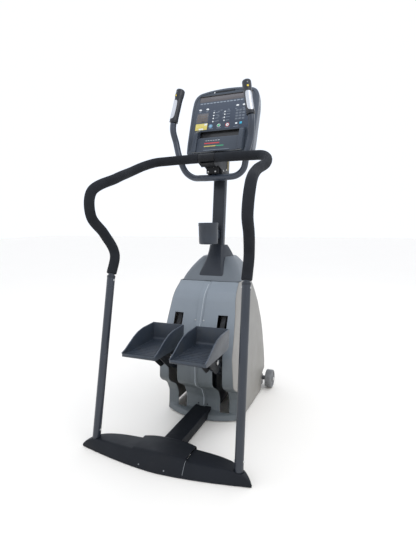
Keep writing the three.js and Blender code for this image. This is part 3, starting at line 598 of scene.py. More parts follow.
def refined(node, look, bevel=0.8, segments=2):
    """A CAD node's own shape with flat faces merged and edges rounded."""
    mesh = NODES[node].data.copy()
    bm = bmesh.new()
    bm.from_mesh(mesh)
    bmesh.ops.remove_doubles(bm, verts=bm.verts, dist=2e-6)
    bmesh.ops.dissolve_limit(bm, angle_limit=math.radians(1), verts=bm.verts, edges=bm.edges)
    bm.to_mesh(mesh)
    bm.free()
    obj = shaded(f"{node}_shape", mesh)
    bevelled(obj, bevel, segments)
    return finished(obj, look, BODY_OF[node], [node])


def bolt_head(name, centre, axis, radius):
    """A domed socket-head screw standing on a face."""
    height = radius * 0.55
    profile = [(0, -1), (radius, -1), (radius, height * 0.35), (radius * 0.8, height * 0.8)]
    profile += [(radius * 0.5, height), (radius * 0.42, height)]
    profile += [(radius * 0.4, height * 0.3), (0, height * 0.3)]
    return lathed(name, profile, centre, axis, 20, 40)


def plug(radius, half_length=60):
    """A cylinder's profile, for cutting round holes."""
    return [(0, -half_length), (radius, -half_length), (radius, half_length), (0, half_length)]


def box_mm(node):
    """A CAD node's lower and upper corners, in millimetres."""
    return [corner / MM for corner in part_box(node)]


def middle(node):
    lo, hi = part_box(node)
    return (lo + hi) / 2 / MM


# ---- base -------------------------------------------------------------------------------
base_lo, base_hi = box_mm("base_wing_cover_right")
BASE_HALF = base_hi.x + 0.5
BASE_REAR = box_mm("base_centre_cover")[0].y
BASE_SWEEP = 60  # how far the base sweeps forward at its ends
COVER_LIFT = 3  # covers stay this far above the floor
COVER = 2.6  # cover thickness
SEAM = base_lo.x


def base_rear(x):
    return BASE_REAR + BASE_SWEEP * (abs(x) / BASE_HALF) ** 1.6


def base_front(x):
    return BASE_REAR + BASE_SWEEP + 100 * max(1 - (abs(x) / BASE_HALF) ** 5, 0.001) ** 0.909


def base_section(x, front, height):
    """The cover's outer profile at one place: slanted fascia, a ridge and a nearly flat top."""
    rear = base_rear(x)
    width = front - rear
    corners = [
        (x, rear, COVER_LIFT),
        (x, rear + 0.05 * width, COVER_LIFT + 0.35 * (height - COVER_LIFT)),
        (x, rear + 0.2 * width, 0.92 * height),
        (x, rear + 0.28 * width, height),
        (x, front - 0.08 * width, height - 0.5),
        (x, front - 0.02 * width, 0.87 * height),
        (x, front, COVER_LIFT),
    ]
    return rounded(corners, min(8, width * 0.06), 3, closed=False)


def wing_height(x):
    t = x / BASE_HALF
    return (60 - 12 * t) * (1 - 0.75 * t**16)


def ease(t):
    return t * t * (3 - 2 * t)


stations = [SEAM + (base_hi.x - SEAM) * math.sin(k / 44 * math.pi / 2) for k in range(45)]
wing_rings = [base_section(x, base_front(x), wing_height(x)) for x in stations]
verts, faces = skinned(wing_rings, closed=False, ends=False)
count = len(wing_rings[0])
faces.append(tuple((len(stations) - 1) * count + i for i in range(count)))
wing = thickened(make("wing", verts, faces), COVER)
post_lo, post_hi = Vector((353, -475, 41)), Vector((337.2, -321, 799))
post_along = (post_hi - post_lo).normalized()
wing = carved(wing, lathed("hole", plug(21), post_lo + post_along * 15, post_along))
pair(wing, "base_wing_cover", "base")

CENTRE_FRONT = -370
centre_x = [SEAM * 0.994 * (k / 20 - 1) for k in range(41)]
centre_shares = [abs(x / SEAM) for x in centre_x]
centre_rings = [
    base_section(x, CENTRE_FRONT - 20 * share**3, 66 - 3 * share**2)
    for x, share in zip(centre_x, centre_shares)
]
verts, faces = skinned(centre_rings, closed=False, ends=False)
centre = thickened(make("base_centre_shape", verts, faces), COVER)
spine_lo, spine_hi = box_mm("spine_tube")
tunnel = block("tunnel", (spine_lo.x - 1.2, -430, -30), (spine_hi.x + 1.2, -330, spine_hi.z + 1.2))
fixed(carved(centre, tunnel), "base", "base_plastic", "base_centre_cover")

for k, x in enumerate((-76, 47)):
    y = base_rear(x) + 0.034 * (CENTRE_FRONT - base_rear(x)) - 0.6
    screw = bolt_head(f"base_screw_{k + 1}", (x, y, 18), (0, -0.92, 0.4), 3.2)
    fixed(screw, "seam", "steel")
# The pale bead along the seam between wing and centre cover is a painted highlight on the step's edge.
seam_highlight_line = [Vector(p) for p in base_section(SEAM - 0.2, base_front(SEAM), wing_height(SEAM))]
seam_highlight_line = [p for p in seam_highlight_line if p.y < base_rear(SEAM) + 45 and p.z > 5]
seam_highlight = Path(seam_highlight_line)
fixed(swept("base_seam_highlight", seam_highlight, 0, seam_highlight.length, 1.1, 10, 4, 0.4), "seam", "base_plastic")

refined("rear_crossmember", "paint", 1.5)
refined("spine_tube", "spine", 4, 4)
refined("front_crossmember", "paint", 1.5)
refined("front_foot_pad", "rubber", 2)

foot = middle("leveling_foot_right")
foot_profile = [(0, 0), (19, 0), (21.8, 1.5), (22, 3), (20.5, 6.5), (11, 8.6), (9, 8.9), (4.8, 9)]
foot_profile += [(4.8, 30), (0, 30)]
foot_shape = lathed("foot", foot_profile, (foot.x, foot.y, 0), (0, 0, 1), 40)
pair(foot_shape, "leveling_foot", "rubber", ("foot_left", "foot_right"))

# ---- transport wheels -------------------------------------------------------------------
lo, hi = box_mm("transport_wheel_right")
SLEEVE = 27  # the hub reaches this far inwards of the tyre
rim, width = (hi.z - lo.z) / 2, hi.x - lo.x - SLEEVE
wheel_profile = [(8.4, -SLEEVE), (12.4, -SLEEVE), (13, -SLEEVE + 0.6), (13, 0)]
wheel_profile += [(19, 0), (20.5, 1), (22, 5), (24, 6)]
wheel_profile += [(rim - 15, 6), (rim - 12, 4.5), (rim - 10, 0.6), (rim - 8, 0)]
wheel_profile += [(rim - 3, 0), (rim - 0.8, 1.6), (rim, 4.5)]
for groove in (0.33, 0.62):
    at = groove * width
    wheel_profile += [(rim, at), (rim - 1.6, at + 0.6), (rim - 1.6, at + 2), (rim, at + 2.6)]
wheel_profile += [(rim, width - 4.5), (rim - 0.8, width - 1.6), (rim - 3, width)]
wheel_profile += [(rim - 9, width), (rim - 11, width - 5)]
wheel_profile += [(24, width - 5), (21, width - 4), (19, width), (8.4, width)]
centre = middle("transport_wheel_right")
wheel = lathed("wheel", wheel_profile, (lo.x + SLEEVE, centre.y, centre.z), (1, 0, 0), 72)
pair(wheel, "transport_wheel", "wheel", ("wheel_left", "wheel_right"))
refined("wheel_axle", "steel", 0.7)

# ---- posts and handrail -----------------------------------------------------------------
RAIL = [
    (337, -319, 806), (337, -286, 899), (353, -341, 998), (367, -410, 1078), (373, -393, 1186),
    (350, -227, 1261), (355, -86, 1306), (335, 8, 1343), (292, 71, 1367), (235, 85, 1371),
    (120, 85, 1373), (0, 85, 1373),
]
rail = Path(catmull(RAIL))
foam = swept("foam", rail, 0, rail.length - 46, 24, 36, 5, 5, 0.7)
for piece in pair(foam, "handrail_foam", "foam"):
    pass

whole = [(338.7, -336, 722), *RAIL]
whole = Path(catmull(whole + [(-x, y, z) for x, y, z in reversed(whole[:-1])]))
tube = swept("handrail_tube_shape", whole, 1, whole.length - 1, 15, 20, 14, 1)
fixed(tube, "paint", "steel", "handrail_tube")

post_path = Path([post_lo, post_hi])
post = swept("post", post_path, 0, post_path.length, 19, 40, 60, 1.5)
pair(post, "post", "paint")
collar = swept("post_collar", post_path, post_path.length - 12, post_path.length - 2, 19.8, 40, 10, 1.2)
pair(collar, "post_collar", "dark", replaces=False)
for k, (up, out) in enumerate((u, (side, 0, 0)) for u in (0.971, 0.055) for side in (1, -1)):
    out = (Vector(out) - post_along * Vector(out).dot(post_along)).normalized()
    at = post_lo.lerp(post_hi, up) + out * 18.6
    pair(bolt_head("post_bolt", at, out, 5.2), f"post_bolt_{k + 1}", "steel", replaces=False)

half = box_mm("handrail_clamp")[1].x
groove = -half * 0.42
seam = [(23.4, -half + 2), (23.4, groove), (22.6, groove + 0.6), (22.6, groove + 1.8), (23.4, groove + 2.4)]
profile = [(16.5, -half), (22, -half), *seam]
profile += [(r, -a) for r, a in reversed(seam)]
profile += [(22, half), (16.5, half)]
clamp = lathed("handrail_clamp_shape", profile, middle("handrail_clamp"), (1, 0, 0), 44)
fixed(clamp, "bracket", "frame_paint", "handrail_clamp")

# ---- column and head --------------------------------------------------------------------
SLOPE = 0.136  # how far the column leans forward for each unit of height
LEAN = math.atan(SLOPE)


def rounded_rect(width, depth, radius, steps=6):
    """A rounded rectangle about the origin, starting on its right side."""
    out = []
    for quarter, (sx, sy) in enumerate(((1, 1), (-1, 1), (-1, -1), (1, -1))):
        for i in range(steps + 1):
            angle = (quarter + i / steps) * math.pi / 2
            x = sx * (width / 2 - radius) + radius * math.cos(angle)
            out.append((x, sy * (depth / 2 - radius) + radius * math.sin(angle)))
    return out


def column_rear(z):
    return 229 + SLOPE * (z - 1050)


def leaning(name, outline, z0, z1):
    """A prism around the column's axis between two heights."""
    rings = []
    for z in (z0, z1):
        centre = Vector((0, column_rear(z) + 23, z))
        rings.append([centre + Vector((x, y * math.cos(LEAN), -y * math.sin(LEAN))) for x, y in outline])
    return skin(name, rings)


column = leaning("column_shape", rounded_rect(71, 46, 12), 62, 1396)
fixed(column, "column", "frame_paint", "column")
strip_at = [(43, 277, 1326), (43, 290, 1329), (43, 295, 1380), (43, 283, 1378)]
strip = skin("column_strip", [strip_at, [(x + 1.5, y, z) for x, y, z in strip_at]])
fixed(strip, "brass", "alloy")
# A pale bead down the column's front right edge, a painted highlight for the light caught by that edge.
highlight_line = Path([(35.2, column_rear(z) + 3.6, z) for z in (870, 1300)])
column_highlight = swept("column_edge_highlight", highlight_line, 0, highlight_line.length, 1.3, 10, 40, 0.6)
fixed(column_highlight, "lip_highlight", "base_plastic")
notches = []
for k in range(30):
    z = 962 + 11 * k
    notches.append(block("notch", (35.2, column_rear(z) + 17, z), (36.6, column_rear(z) + 29, z + 7), 0.4))
fixed(joined("column_side_strip", notches), "ink_and_shade", "base_plastic")

refined("head_bracket", "bracket", 1.2)
for k, (x, z) in enumerate(((-24, 1313), (17, 1313), (7, 1339))):
    fixed(bolt_head(f"head_bolt_{k + 1}", (x, 157, z), (0, -1, 0), 5), "steel", "steel")
for k, (y, z) in enumerate(((217, 1321), (262, 1330), (236, 1384))):
    bolt = bolt_head("head_side_bolt", (41.6, y, z), (1, 0, 0), 5.5)
    pair(bolt, f"head_side_bolt_{k + 1}", "steel", replaces=False)

# ---- pulse handle -----------------------------------------------------------------------
HANDLE = [
    (184.5, 172.5, 1755), (202, 154, 1663), (222, 140, 1548), (213, 156, 1477), (193, 154, 1397),
    (168, 179, 1320), (126, 186, 1289), (60, 166, 1281), (0, 160, 1280),
]
handle_path = Path(catmull(HANDLE + [(-x, y, z) for x, y, z in reversed(HANDLE[:-1])]))
GRIP = 181
GRIP_TURN = math.radians(24)  # the hand side faces the user and turns outwards
bend = swept("pulse_handle_shape", handle_path, GRIP + 1, handle_path.length - GRIP - 1, 17, 32, 6, 3)
fixed(bend, "handle", "frame_paint", "pulse_handle")
lug_side = rounded([(158, 1270), (172, 1290), (253, 1296), (253, 1278), (176, 1264)], 5, 3)
lug = prism("handle_lug", lug_side, -22, 22)
fixed(bevelled(lug, 1.5, 2), "bracket", "frame_paint")


def grip_radius(s):
    """The grip swells into a thicker head at its free end."""
    return 21.6 + 2.2 * ease(min(max((62 - s) / 34, 0), 1)) + 0.9 * ease(min(max((s - 120) / 50, 0), 1))


grip = swept("grip", handle_path, 0, GRIP, grip_radius, 44, 4, 10)
pair(grip, "pulse_grip", "grip")
for k, (at, size) in enumerate(((GRIP - 3, 23.4), (GRIP - 12, 23.2))):
    ring = swept("grip_ring", handle_path, at - 1.8, at + 1.8, size, 40, 4, 0.8)
    pair(ring, f"grip_ring_{k + 1}", "grip", replaces=False)

button_at, button_out = Vector((191.5, 165.5, 1717)), Vector((0.398, -0.893, 0.209)).normalized()
button = [(0, 19), (5.2, 19), (5.5, 19.5), (5.5, 23.8), (4.9, 24.7), (3, 25.1), (0, 25.2)]
button_shape = lathed("button", button, button_at, button_out, 32)
pair(button_shape, "thumb_button", "yellow", ("button_left", "button_right"))
bezel = [(6.2, 20), (10.5, 20), (10.2, 23.6), (8.4, 25.2), (6.8, 25.2), (6.2, 24.4)]
bezel_shape = lathed("bezel", bezel, button_at, button_out, 32)
pair(bezel_shape, "button_bezel", "grip", replaces=False)
mark = [(0, 21), (3.2, 21), (3.2, 23.9), (2.8, 24.3), (0, 24.4)]
mark_shape = lathed("mark", mark, handle_path.at(20), button_out, 24)
pair(mark_shape, "grip_mark", "seam", replaces=False)


def contact_ring(t, radius):
    """One cross-row of a contact plate whose outline is a long oval."""
    v = math.sin((t - 0.5) * math.pi)
    reach = math.radians(44) * max(1 - abs(v) ** 5, 0.0012) ** 0.25
    at = handle_path.at(60 + 50 * (1 + v))
    turns = [GRIP_TURN + reach * (k / 8 - 1) for k in range(17)]
    return [at + Vector((math.sin(a) * radius, -math.cos(a) * radius, 0)) for a in turns]


contact_rows = [contact_ring(k / 36, 24.1) for k in range(37)]
contact = thickened(skin("contact", contact_rows, closed=False, ends=False), 1.1, 1)
pair(bevelled(contact, 0.4, 2), "contact_plate", "contact")

# ---- cup holder -------------------------------------------------------------------------
CUP_RADIUS = 54
cup_lo = box_mm("cup_holder")[0]
cup_centre = (-12, cup_lo.y + CUP_RADIUS, cup_lo.z)
cup_profile = [(0, 0), (44, 0), (48.5, 1), (50.8, 4), (52, 30), (53, 96), (CUP_RADIUS, 98)]
cup_profile += [(CUP_RADIUS, 113.8), (53, 115), (51.6, 115)]
cup_profile += [(50.8, 113.5), (50.6, 96), (48.2, 9), (45, 5), (0, 4.5)]
cup = lathed("cup_holder_shape", cup_profile, cup_centre, (0, 0, 1), 72)
fixed(cup, "cup", "base_plastic", "cup_holder")
arm_block = block("cup_arm", (-28, 171, 951), (16, 220, 999), 3)
fixed(arm_block, "cup", "base_plastic")

# ---- shroud -----------------------------------------------------------------------------
SHROUD = [  # height, rear edge, front, half-width, how far the middle bows out
    (8, -12, 545, 213, 66), (32, -8, 548, 213, 52), (40, -6, 549, 213, 12), (110, 0, 555, 213, 12),
    (165, -27, 560, 212, 12), (185, -58, 560, 211, 12), (205, -94, 560, 210, 12), (230, -114, 559, 209, 12),
    (374, -111, 542, 202, 12), (450, -74, 522, 198, 12), (567, -22, 474, 190, 11), (643, 8, 430, 182, 9),
    (677, 32, 406, 178, 7), (726, 96, 366, 172, 4),
]


def level(z, softness=9):
    """The shroud's measures at a height, with the table's corners eased over a few millimetres."""

    def at(height):
        height = min(max(height, SHROUD[0][0]), SHROUD[-1][0])
        for low, high in zip(SHROUD, SHROUD[1:]):
            if height <= high[0]:
                t = (height - low[0]) / (high[0] - low[0])
                return Vector([a + (b - a) * t for a, b in zip(low[1:], high[1:])])
        return Vector(SHROUD[-1][1:])

    samples = [at(z + softness * shift) for shift in (-1, -0.6, -0.2, 0.2, 0.6, 1)]
    return sum(samples[1:], samples[0]) / len(samples)


RIB_HALF, RIB_RISE, RIB_SLOPE = 17, 7, 2.6
SLOT_OUT, SLOT_IN = 150, 98
SLOT_BOTTOM, SLOT_TOP = 38, 570
TUNNEL_X, TUNNEL_Z = spine_hi.x + 1.6, spine_hi.z + 1.6
PANEL_HALF = 208  # the columns are laid out on this half-width, then fanned to the edge


def panel_depth(x, z):
    """How far the panel's outer face stands at one place, with its raised middle rib."""
    rear, front, half, bow = level(z, 3 if z < 45 else 9)
    y = rear - bow * (1 - min(abs(x) / (half - 4), 1) ** 2)
    rib = ease(min(max((RIB_HALF + RIB_SLOPE / 2 - abs(x)) / RIB_SLOPE, 0), 1))
    rib *= ease(min(max((z - 46) / 6, 0), 1))
    return y - RIB_RISE * rib


def spread(lo, hi, most):
    """Evenly spaced values between two, no further apart than the most."""
    steps = max(1, math.ceil((hi - lo) / most))
    return [lo + (hi - lo) * k / steps for k in range(steps)]


def laid_out(first, *stretches):
    """Values through several stretches, each given as its end and its largest step."""
    values = []
    for last, most in stretches:
        values += spread(first, last, most)
        first = last
    return values


right_columns = laid_out(
    0, (RIB_HALF - 4, 6), (RIB_HALF + 4, 1), (TUNNEL_X, 9), (SLOT_IN, 9), (SLOT_OUT, 13), (PANEL_HALF, 9)
)
shares = [x / PANEL_HALF for x in right_columns] + [1.0]
across = [-s for s in reversed(shares[1:])] + shares
rows_z = laid_out(
    8, (SLOT_BOTTOM, 3), (TUNNEL_Z, 3), (145, 9), (245, 4), (360, 12), (SLOT_TOP, 10), (726, 7)
)
rows_z.append(726)


def panel_x(share, z):
    """Columns stay straight as far as the slots, then fan out to the panel's edge."""
    edge = level(z)[2] - 4
    x = share * PANEL_HALF
    if abs(x) <= SLOT_OUT:
        return x
    over = (abs(x) - SLOT_OUT) / (PANEL_HALF - SLOT_OUT)
    return math.copysign(SLOT_OUT + over * (edge - SLOT_OUT), x)


points = [[(panel_x(s, z), panel_depth(panel_x(s, z), z), z) for s in across] for z in rows_z]
verts, faces = skinned(points, closed=False, ends=False)


def in_opening(face):
    x = sum(verts[i][0] for i in face) / 4
    z = sum(verts[i][2] for i in face) / 4
    in_tunnel = abs(x) < TUNNEL_X and z < TUNNEL_Z
    return in_tunnel or (SLOT_IN < abs(x) < SLOT_OUT and SLOT_BOTTOM < z < SLOT_TOP)


faces = [f for f in faces if not in_opening(f)]
panel = thickened(make("rear_panel_shape", verts, faces), 3.4)
fixed(bevelled(panel, 1.1, 2, 50), "panel", "panel_grey", "rear_panel")

PANEL_SCREWS = [(-23, 540, "steel"), (23, 540, "steel"), (-26, 67, "ink_and_shade"), (26, 67, "ink_and_shade")]
for k, (x, z, look) in enumerate(PANEL_SCREWS):
    rise = panel_depth(x, z - 3) - panel_depth(x, z + 3)
    out = Vector((0, -6, -rise)).normalized() if z > 300 else Vector((0, -1, 0))
    screw = bolt_head(f"panel_screw_{k + 1}", (x, panel_depth(x, z), z), out, 4)
    fixed(screw, look, "steel")


# A pale bead along the right edge of the panel's rib is a painted highlight on that edge.
ridge_rows = [z for z in rows_z if TUNNEL_Z + 8 < z < 716]
ridge_highlight_line = Path([(8, panel_depth(8, z) - 0.3, z) for z in ridge_rows])
ridge = swept("panel_ridge_highlight", ridge_highlight_line, 0, ridge_highlight_line.length, 1.5, 10, 5, 1)
fixed(ridge, "ridge", "panel_grey")


def shell_ring(z, inset=0):
    """One level of the right shell, from its rear edge round the nose to the centre line."""
    rear, front, half, bow = level(z)
    radius = min(85, (front - rear) / 3)
    ring = [(half - inset - 2.5, rear + 0.4), (half - inset - 0.7, rear + 2)]
    ring += [(half - inset, rear + 5 + (front - radius - rear - 5) * k / 9) for k in range(10)]
    for i in range(1, 13):
        angle = i / 12 * math.pi / 2
        reach = radius - inset
        ring.append((half - radius + reach * math.cos(angle), front - radius + reach * math.sin(angle)))
    ring += [((half - radius) * (1 - k / 4) + 0.4 * k / 4, front - inset) for k in range(1, 5)]
    return [(x, y, z) for x, y in ring]


shell = skin("shell", [shell_ring(z) for z in rows_z], closed=False, ends=False)
thickened(shell, 3)
nose = [(395, -20), (405, 34), (430, 70), (470, 112), (520, 128), (640, 132), (640, -20)]
nose_tool = prism("nose", rounded(nose, 14, 3), -300, 300)
arch = lathed("arch", plug(rim + 7), middle("transport_wheel_right"), (1, 0, 0), 56)
pair(bevelled(carved(shell, nose_tool, arch), 0.9, 2, 50), "side_shell", "shell")

CAP = [  # height, rear, front, half-width
    (726.6, 98, 362, 171), (745, 112, 358, 166), (790, 150, 346, 142),
    (830, 186, 332, 112), (850, 205, 322, 92),
]
BOOT = [  # height, rear, front, half-width at the front, half-width at the rear
    (748, 117, 300, 84, 82), (762, 122, 303, 84, 75), (780, 132, 305, 84, 67), (805, 148, 305, 82, 59),
    (842, 169, 302, 78, 50), (880, 190, 285, 66, 44), (905, 201, 270, 56, 42), (914, 205, 264, 52, 41.5),
]


def smooth_rows(table, steps=8):
    """Rows between a table's rows, on a smooth curve through them."""
    rows = [list(map(float, r)) for r in table]
    out = []
    for i in range(len(rows) - 1):
        a = rows[max(i - 1, 0)]
        b, c = rows[i], rows[i + 1]
        d = rows[min(i + 2, len(rows) - 1)]
        for k in range(steps):
            t = k / steps
            row = []
            for j in range(len(b)):
                span = c[0] - b[0]
                m0 = (c[j] - a[j]) / (c[0] - a[0]) * span
                m1 = (d[j] - b[j]) / (d[0] - b[0]) * span
                h = (2 * t**3 - 3 * t**2 + 1) * b[j] + (t**3 - 2 * t**2 + t) * m0
                row.append(h + (-2 * t**3 + 3 * t**2) * c[j] + (t**3 - t**2) * m1)
            out.append(row)
    out.append(rows[-1])
    return out


def cap_rings():
    """Rounded-rectangle rings up the cap."""
    rings = []
    for z, rear, front, half in smooth_rows(CAP):
        outline = rounded_rect(2 * half, front - rear, 40, 7)
        rings.append([(x, y + (front + rear) / 2, z) for x, y in outline])
    return rings


def boot_rings(grow=0.0):
    """Rounded rings up the boot, each narrower towards the user."""
    rings = []
    for z, rear, front, half, rear_half in smooth_rows(BOOT):
        depth = front - rear
        ring = []
        for x, y in rounded_rect(2 * (half + grow), depth + 2 * grow, 20, 7):
            share = ease(min(max((y / depth + 0.5) / 0.8, 0), 1))
            narrowed = rear_half / half + (1 - rear_half / half) * share
            ring.append((x * narrowed, y + (front + rear) / 2, z))
        rings.append(ring)
    return rings


def lid(name, ring):
    """A flat sheet inside a ring."""
    return skin(name, [[(x, y, z + dz) for x, y, z in ring] for dz in (-3, 0)])


def boot_tool():
    return skin("boot_tool", boot_rings(0.8))


cap = carved(thickened(skin("cap", cap_rings(), ends=False), 3), boot_tool())
cap_top = carved(lid("cap_top", cap_rings()[-1]), boot_tool())
fixed(joined("top_cap_shape", [cap, cap_top]), "cap", "shell_grey", "top_cap")

boot = thickened(skin("boot", boot_rings(), ends=False), 3)
boot_top = carved(lid("boot_top", boot_rings()[-1]), leaning("hole", rounded_rect(73, 48, 13), 730, 960))
fixed(joined("column_boot_shape", [boot, boot_top]), "dark", "base_plastic", "column_boot")

# ---- mechanism --------------------------------------------------------------------------
refined("inner_frame", "paint", 0.8)
refined("battery", "battery", 3)
for node in ("pivot_shaft", "drive_shaft", "alternator_rotor"):
    refined(node, "steel", 0.6)
for node in ("strap_drum_left", "strap_drum_right", "alternator_case"):
    refined(node, "alloy", 0.6)
refined("drive_belt", "belt", 0.5)

for side in ("left", "right"):
    refined(f"pedal_arm_{side}", "paint", 2.2, 3)
    refined(f"level_link_{side}", "paint", 2, 3)
    refined(f"pedal_bracket_{side}", "bracket", 1.1)
    refined(f"pedal_pin_{side}", "steel", 0.9)


STRAP_HALF = 1.4  # half the strap's thickness


def strap(side):
    """The flat strap between a drum and its arm, in many sections."""
    lo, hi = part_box(f"drive_strap_{side}")
    top, end = Vector((0, hi.y - 0.002, hi.z)), Vector((0, lo.y + 0.002, lo.z))
    rings = []
    for k in range(41):
        at = top.lerp(end, k / 40) / MM
        x0, x1 = lo.x / MM, hi.x / MM
        corners = ((x0, -STRAP_HALF), (x1, -STRAP_HALF), (x1, STRAP_HALF), (x0, STRAP_HALF))
        rings.append([(x, at.y + dy, at.z) for x, dy in corners])
    obj = skin(f"drive_strap_shape_{side}", rings)
    obj.data.materials.append(LOOKS["belt"].material)
    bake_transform(obj)
    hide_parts(f"drive_strap_{side}")


def spring(side):
    """A close-wound extension spring with the cord above it."""
    lo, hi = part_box(f"return_spring_{side}")
    centre = (lo + hi) / 2 / MM
    bottom, top, cord_top = lo.z / MM, lo.z / MM + 170, hi.z / MM
    turns, radius, points = 34, 7.2, []
    points += [Vector((centre.x, centre.y, bottom + 1)), Vector((centre.x, centre.y, bottom + 8))]
    for k in range(turns * 14 + 1):
        angle = 2 * math.pi * k / 14
        z = bottom + 12 + (top - bottom - 24) * k / (turns * 14)
        points.append(Vector((centre.x + radius * math.cos(angle), centre.y + radius * math.sin(angle), z)))
    points += [Vector((centre.x, centre.y, top - 6)), Vector((centre.x, centre.y, top))]
    coil = Path(points)
    coil_shape = swept("coil", coil, 0, coil.length, 1.5, 8, 3.6, 0.5)
    coil_shape.name = f"return_spring_shape_{side}"
    fixed(coil_shape, "steel", "steel", f"return_spring_{side}")
    line = Path([(centre.x, centre.y, top - 2), (centre.x, centre.y, cord_top)])
    fixed(swept(f"spring_cord_{side}", line, 0, line.length, 2, 12, 20, 0.5), "belt", "belt")


for side in ("left", "right"):
    strap(side)
    spring(side)

# ---- pedals -----------------------------------------------------------------------------
PEDAL_BODIES = ("pedal_left", "pedal_right")
PEDAL_SIDE = [
    (-465, 466), (-460, 455), (-436, 450), (-200, 447), (-170, 456), (-158, 540), (-163, 543),
    (-270, 541), (-318, 533), (-355, 519), (-432, 479), (-460, 471),
]
TRAY = [(-475, 470.5), (-452, 469.5), (-438, 461), (-190, 459), (-178, 466), (-169, 560), (-475, 560)]
lo, hi = box_mm("pedal_right")
x0, x1 = lo.x, hi.x
outer = rounded(PEDAL_SIDE, 7, 4)
tray_body = prism("pedal", outer, x0, x1)
tray_cut = prism("tray", rounded(TRAY, 9, 4), x0 + 5, x1 - 5)
corner_cuts = []
for x, sign in ((x0, 1), (x1, -1)):
    wedge = [(x - sign * 5, -470), (x + sign * 16, -470), (x - sign * 5, -446)]
    corner_cuts.append(skin("corner", [[(a, b, z) for a, b in wedge] for z in (440, 480)]))
pedal = bevelled(carved(tray_body, tray_cut, *corner_cuts), 1.6, 3, 40)
pair(pedal, "pedal", "tray", PEDAL_BODIES)

# A rolled bead along the top of each side wall; its lighter colour is a painted highlight.
lip_highlights = []
for x in (x0 + 2.5, x1 - 2.5):
    edge = Path([(x, y, z - 1.6) for y, z in PEDAL_SIDE[6:]])
    lip_highlights.append(swept("lip_highlight", edge, 1, edge.length - 4, 2.7, 14, 8, 1))
lip_highlight = joined("pedal_lip_highlight", lip_highlights)
pair(lip_highlight, "pedal_lip_highlight", "lip_highlight", PEDAL_BODIES, replaces=False)

ribs = []
for k in range(12):
    y = -424 + k * 19.5
    z = 461 - 2 * (y + 438) / 248
    ribs.append(block("rib", (x0 + 14, y, z - 1), (x1 - 14, y + 7, z + 1.6), 0.8))
tread = joined("tread", ribs)
pair(tread, "pedal_tread", "tray", PEDAL_BODIES, replaces=False)

# ---- console ----------------------------------------------------------------------------
TILT = math.radians(67.9)
CONSOLE_BOTTOM = (0, 242, 1424)
CONSOLE = Matrix.Translation(CONSOLE_BOTTOM) @ Matrix.Rotation(TILT, 4, "X")
FACE = [
    (185, 0), (194, 8), (198, 60), (201, 290), (197, 348),
    (186, 376), (163, 395), (103, 407), (52, 411), (0, 413),
]
FACE_MIDDLE = 200


def on_console(obj):
    """Moves a shape drawn on the console's own axes (across, up the face, out of it) to its place."""
    obj.data.transform(Matrix.Scale(MM, 4) @ CONSOLE @ Matrix.Scale(1 / MM, 4))
    return obj


def face_outline(shrink):
    """The console's outline, scaled about its middle, with smooth corners."""
    half = [(x * shrink, FACE_MIDDLE + (y - FACE_MIDDLE) * shrink) for x, y in FACE]
    return rounded(half + [(-x, y) for x, y in reversed(half[:-1])], 20, 4)


def console_loft(name, levels):
    return skin(name, [[(x, y, z) for x, y in face_outline(shrink)] for shrink, z in levels])


def slab(xs, ys, zs, bevel=0.0):
    return block("slab", (xs[0], ys[0], zs[0]), (xs[1], ys[1], zs[1]), bevel)


FACE_Z = -1.7  # the overlay's surface


def key(x, y, radius, thick, squash=1.0):
    """A flat round key with a softened edge."""
    low, high, dome = FACE_Z, FACE_Z + thick, 0.4
    profile = [(0, low), (radius, low), (radius, high - dome), (radius - dome, high - dome * 0.3)]
    profile += [(radius - 2 * dome, high), (0, high)]
    obj = lathed("disc", profile, (0, 0, 0), (0, 0, 1), 28)
    obj.data.transform(Matrix.Translation((x * MM, y * MM, 0)) @ Matrix.Scale(squash, 4, (0, 1, 0)))
    return obj


def ring_mark(x, y, outer, inner, thick):
    """A thin ring round a key."""
    low, high = FACE_Z, FACE_Z + thick
    profile = [(inner, low), (outer, low), (outer, high - 0.3), (outer - 0.3, high)]
    profile += [(inner + 0.3, high), (inner, high - 0.3)]
    obj = lathed("hoop", profile, (0, 0, 0), (0, 0, 1), 32)
    obj.data.transform(Matrix.Translation((x * MM, y * MM, 0)))
    return obj


def tile(xs, ys, thick, bevel=0.0, above=0.0):
    """A thin plate on the console's face."""
    return slab(xs, ys, (FACE_Z + above, FACE_Z + thick), bevel)


housing = [(0.93, -88), (0.945, -86), (0.965, -78), (0.985, -60), (0.995, -42), (1, -26.4)]
back = console_loft("console_housing_shape", housing)
vents = [slab((-70 + 20 * k, -60 + 20 * k), (250, 300), (-100, -84)) for k in range(7)]
fixed(on_console(carved(back, *vents)), "console", "console_grey", "console_housing")

rim_levels = [(1, -26), (1, -9), (0.998, -5), (0.99, -1.8), (0.978, 0)]
face = console_loft("console_face_shape", rim_levels)
sink = console_loft("sink", [(0.925, -2.4), (0.925, 5)])
face = carved(
    face,
    sink,
    slab((-160, 160), (334, 374), (-8, 5)),
    slab((-146, 146), (91, 140), (-18, 5)),
    slab((-66, 52), (388, 396), (-8, 5)),
)
fixed(on_console(bevelled(face, 0.9, 2, 40)), "console", "console_grey", "console_face")
overlay = on_console(slab((-163, 163), (146, 331), (-2.4, -1.7), 0.3))
overlay.name = "console_overlay"
fixed(overlay, "face", "face_blue")

shadow = on_console(slab((-159.6, 159.6), (370.6, 373.9), (-6.4, -0.9)))
shadow.name = "display_shadow"
fixed(shadow, "ink_and_shade", "console_grey")

lens = on_console(slab((-159.2, 159.2), (334.8, 373.2), (-6.5, -4.4), 0.5))
lens.name = "display_lens_shape"
fixed(lens, "lens", "lens", "display_lens")

slats = [slab((-64 + 6 * k, -61 + 6 * k), (388, 396), (-6, -1)) for k in range(19)]
fixed(on_console(joined("console_vent", slats)), "ink_and_shade", "console_grey")

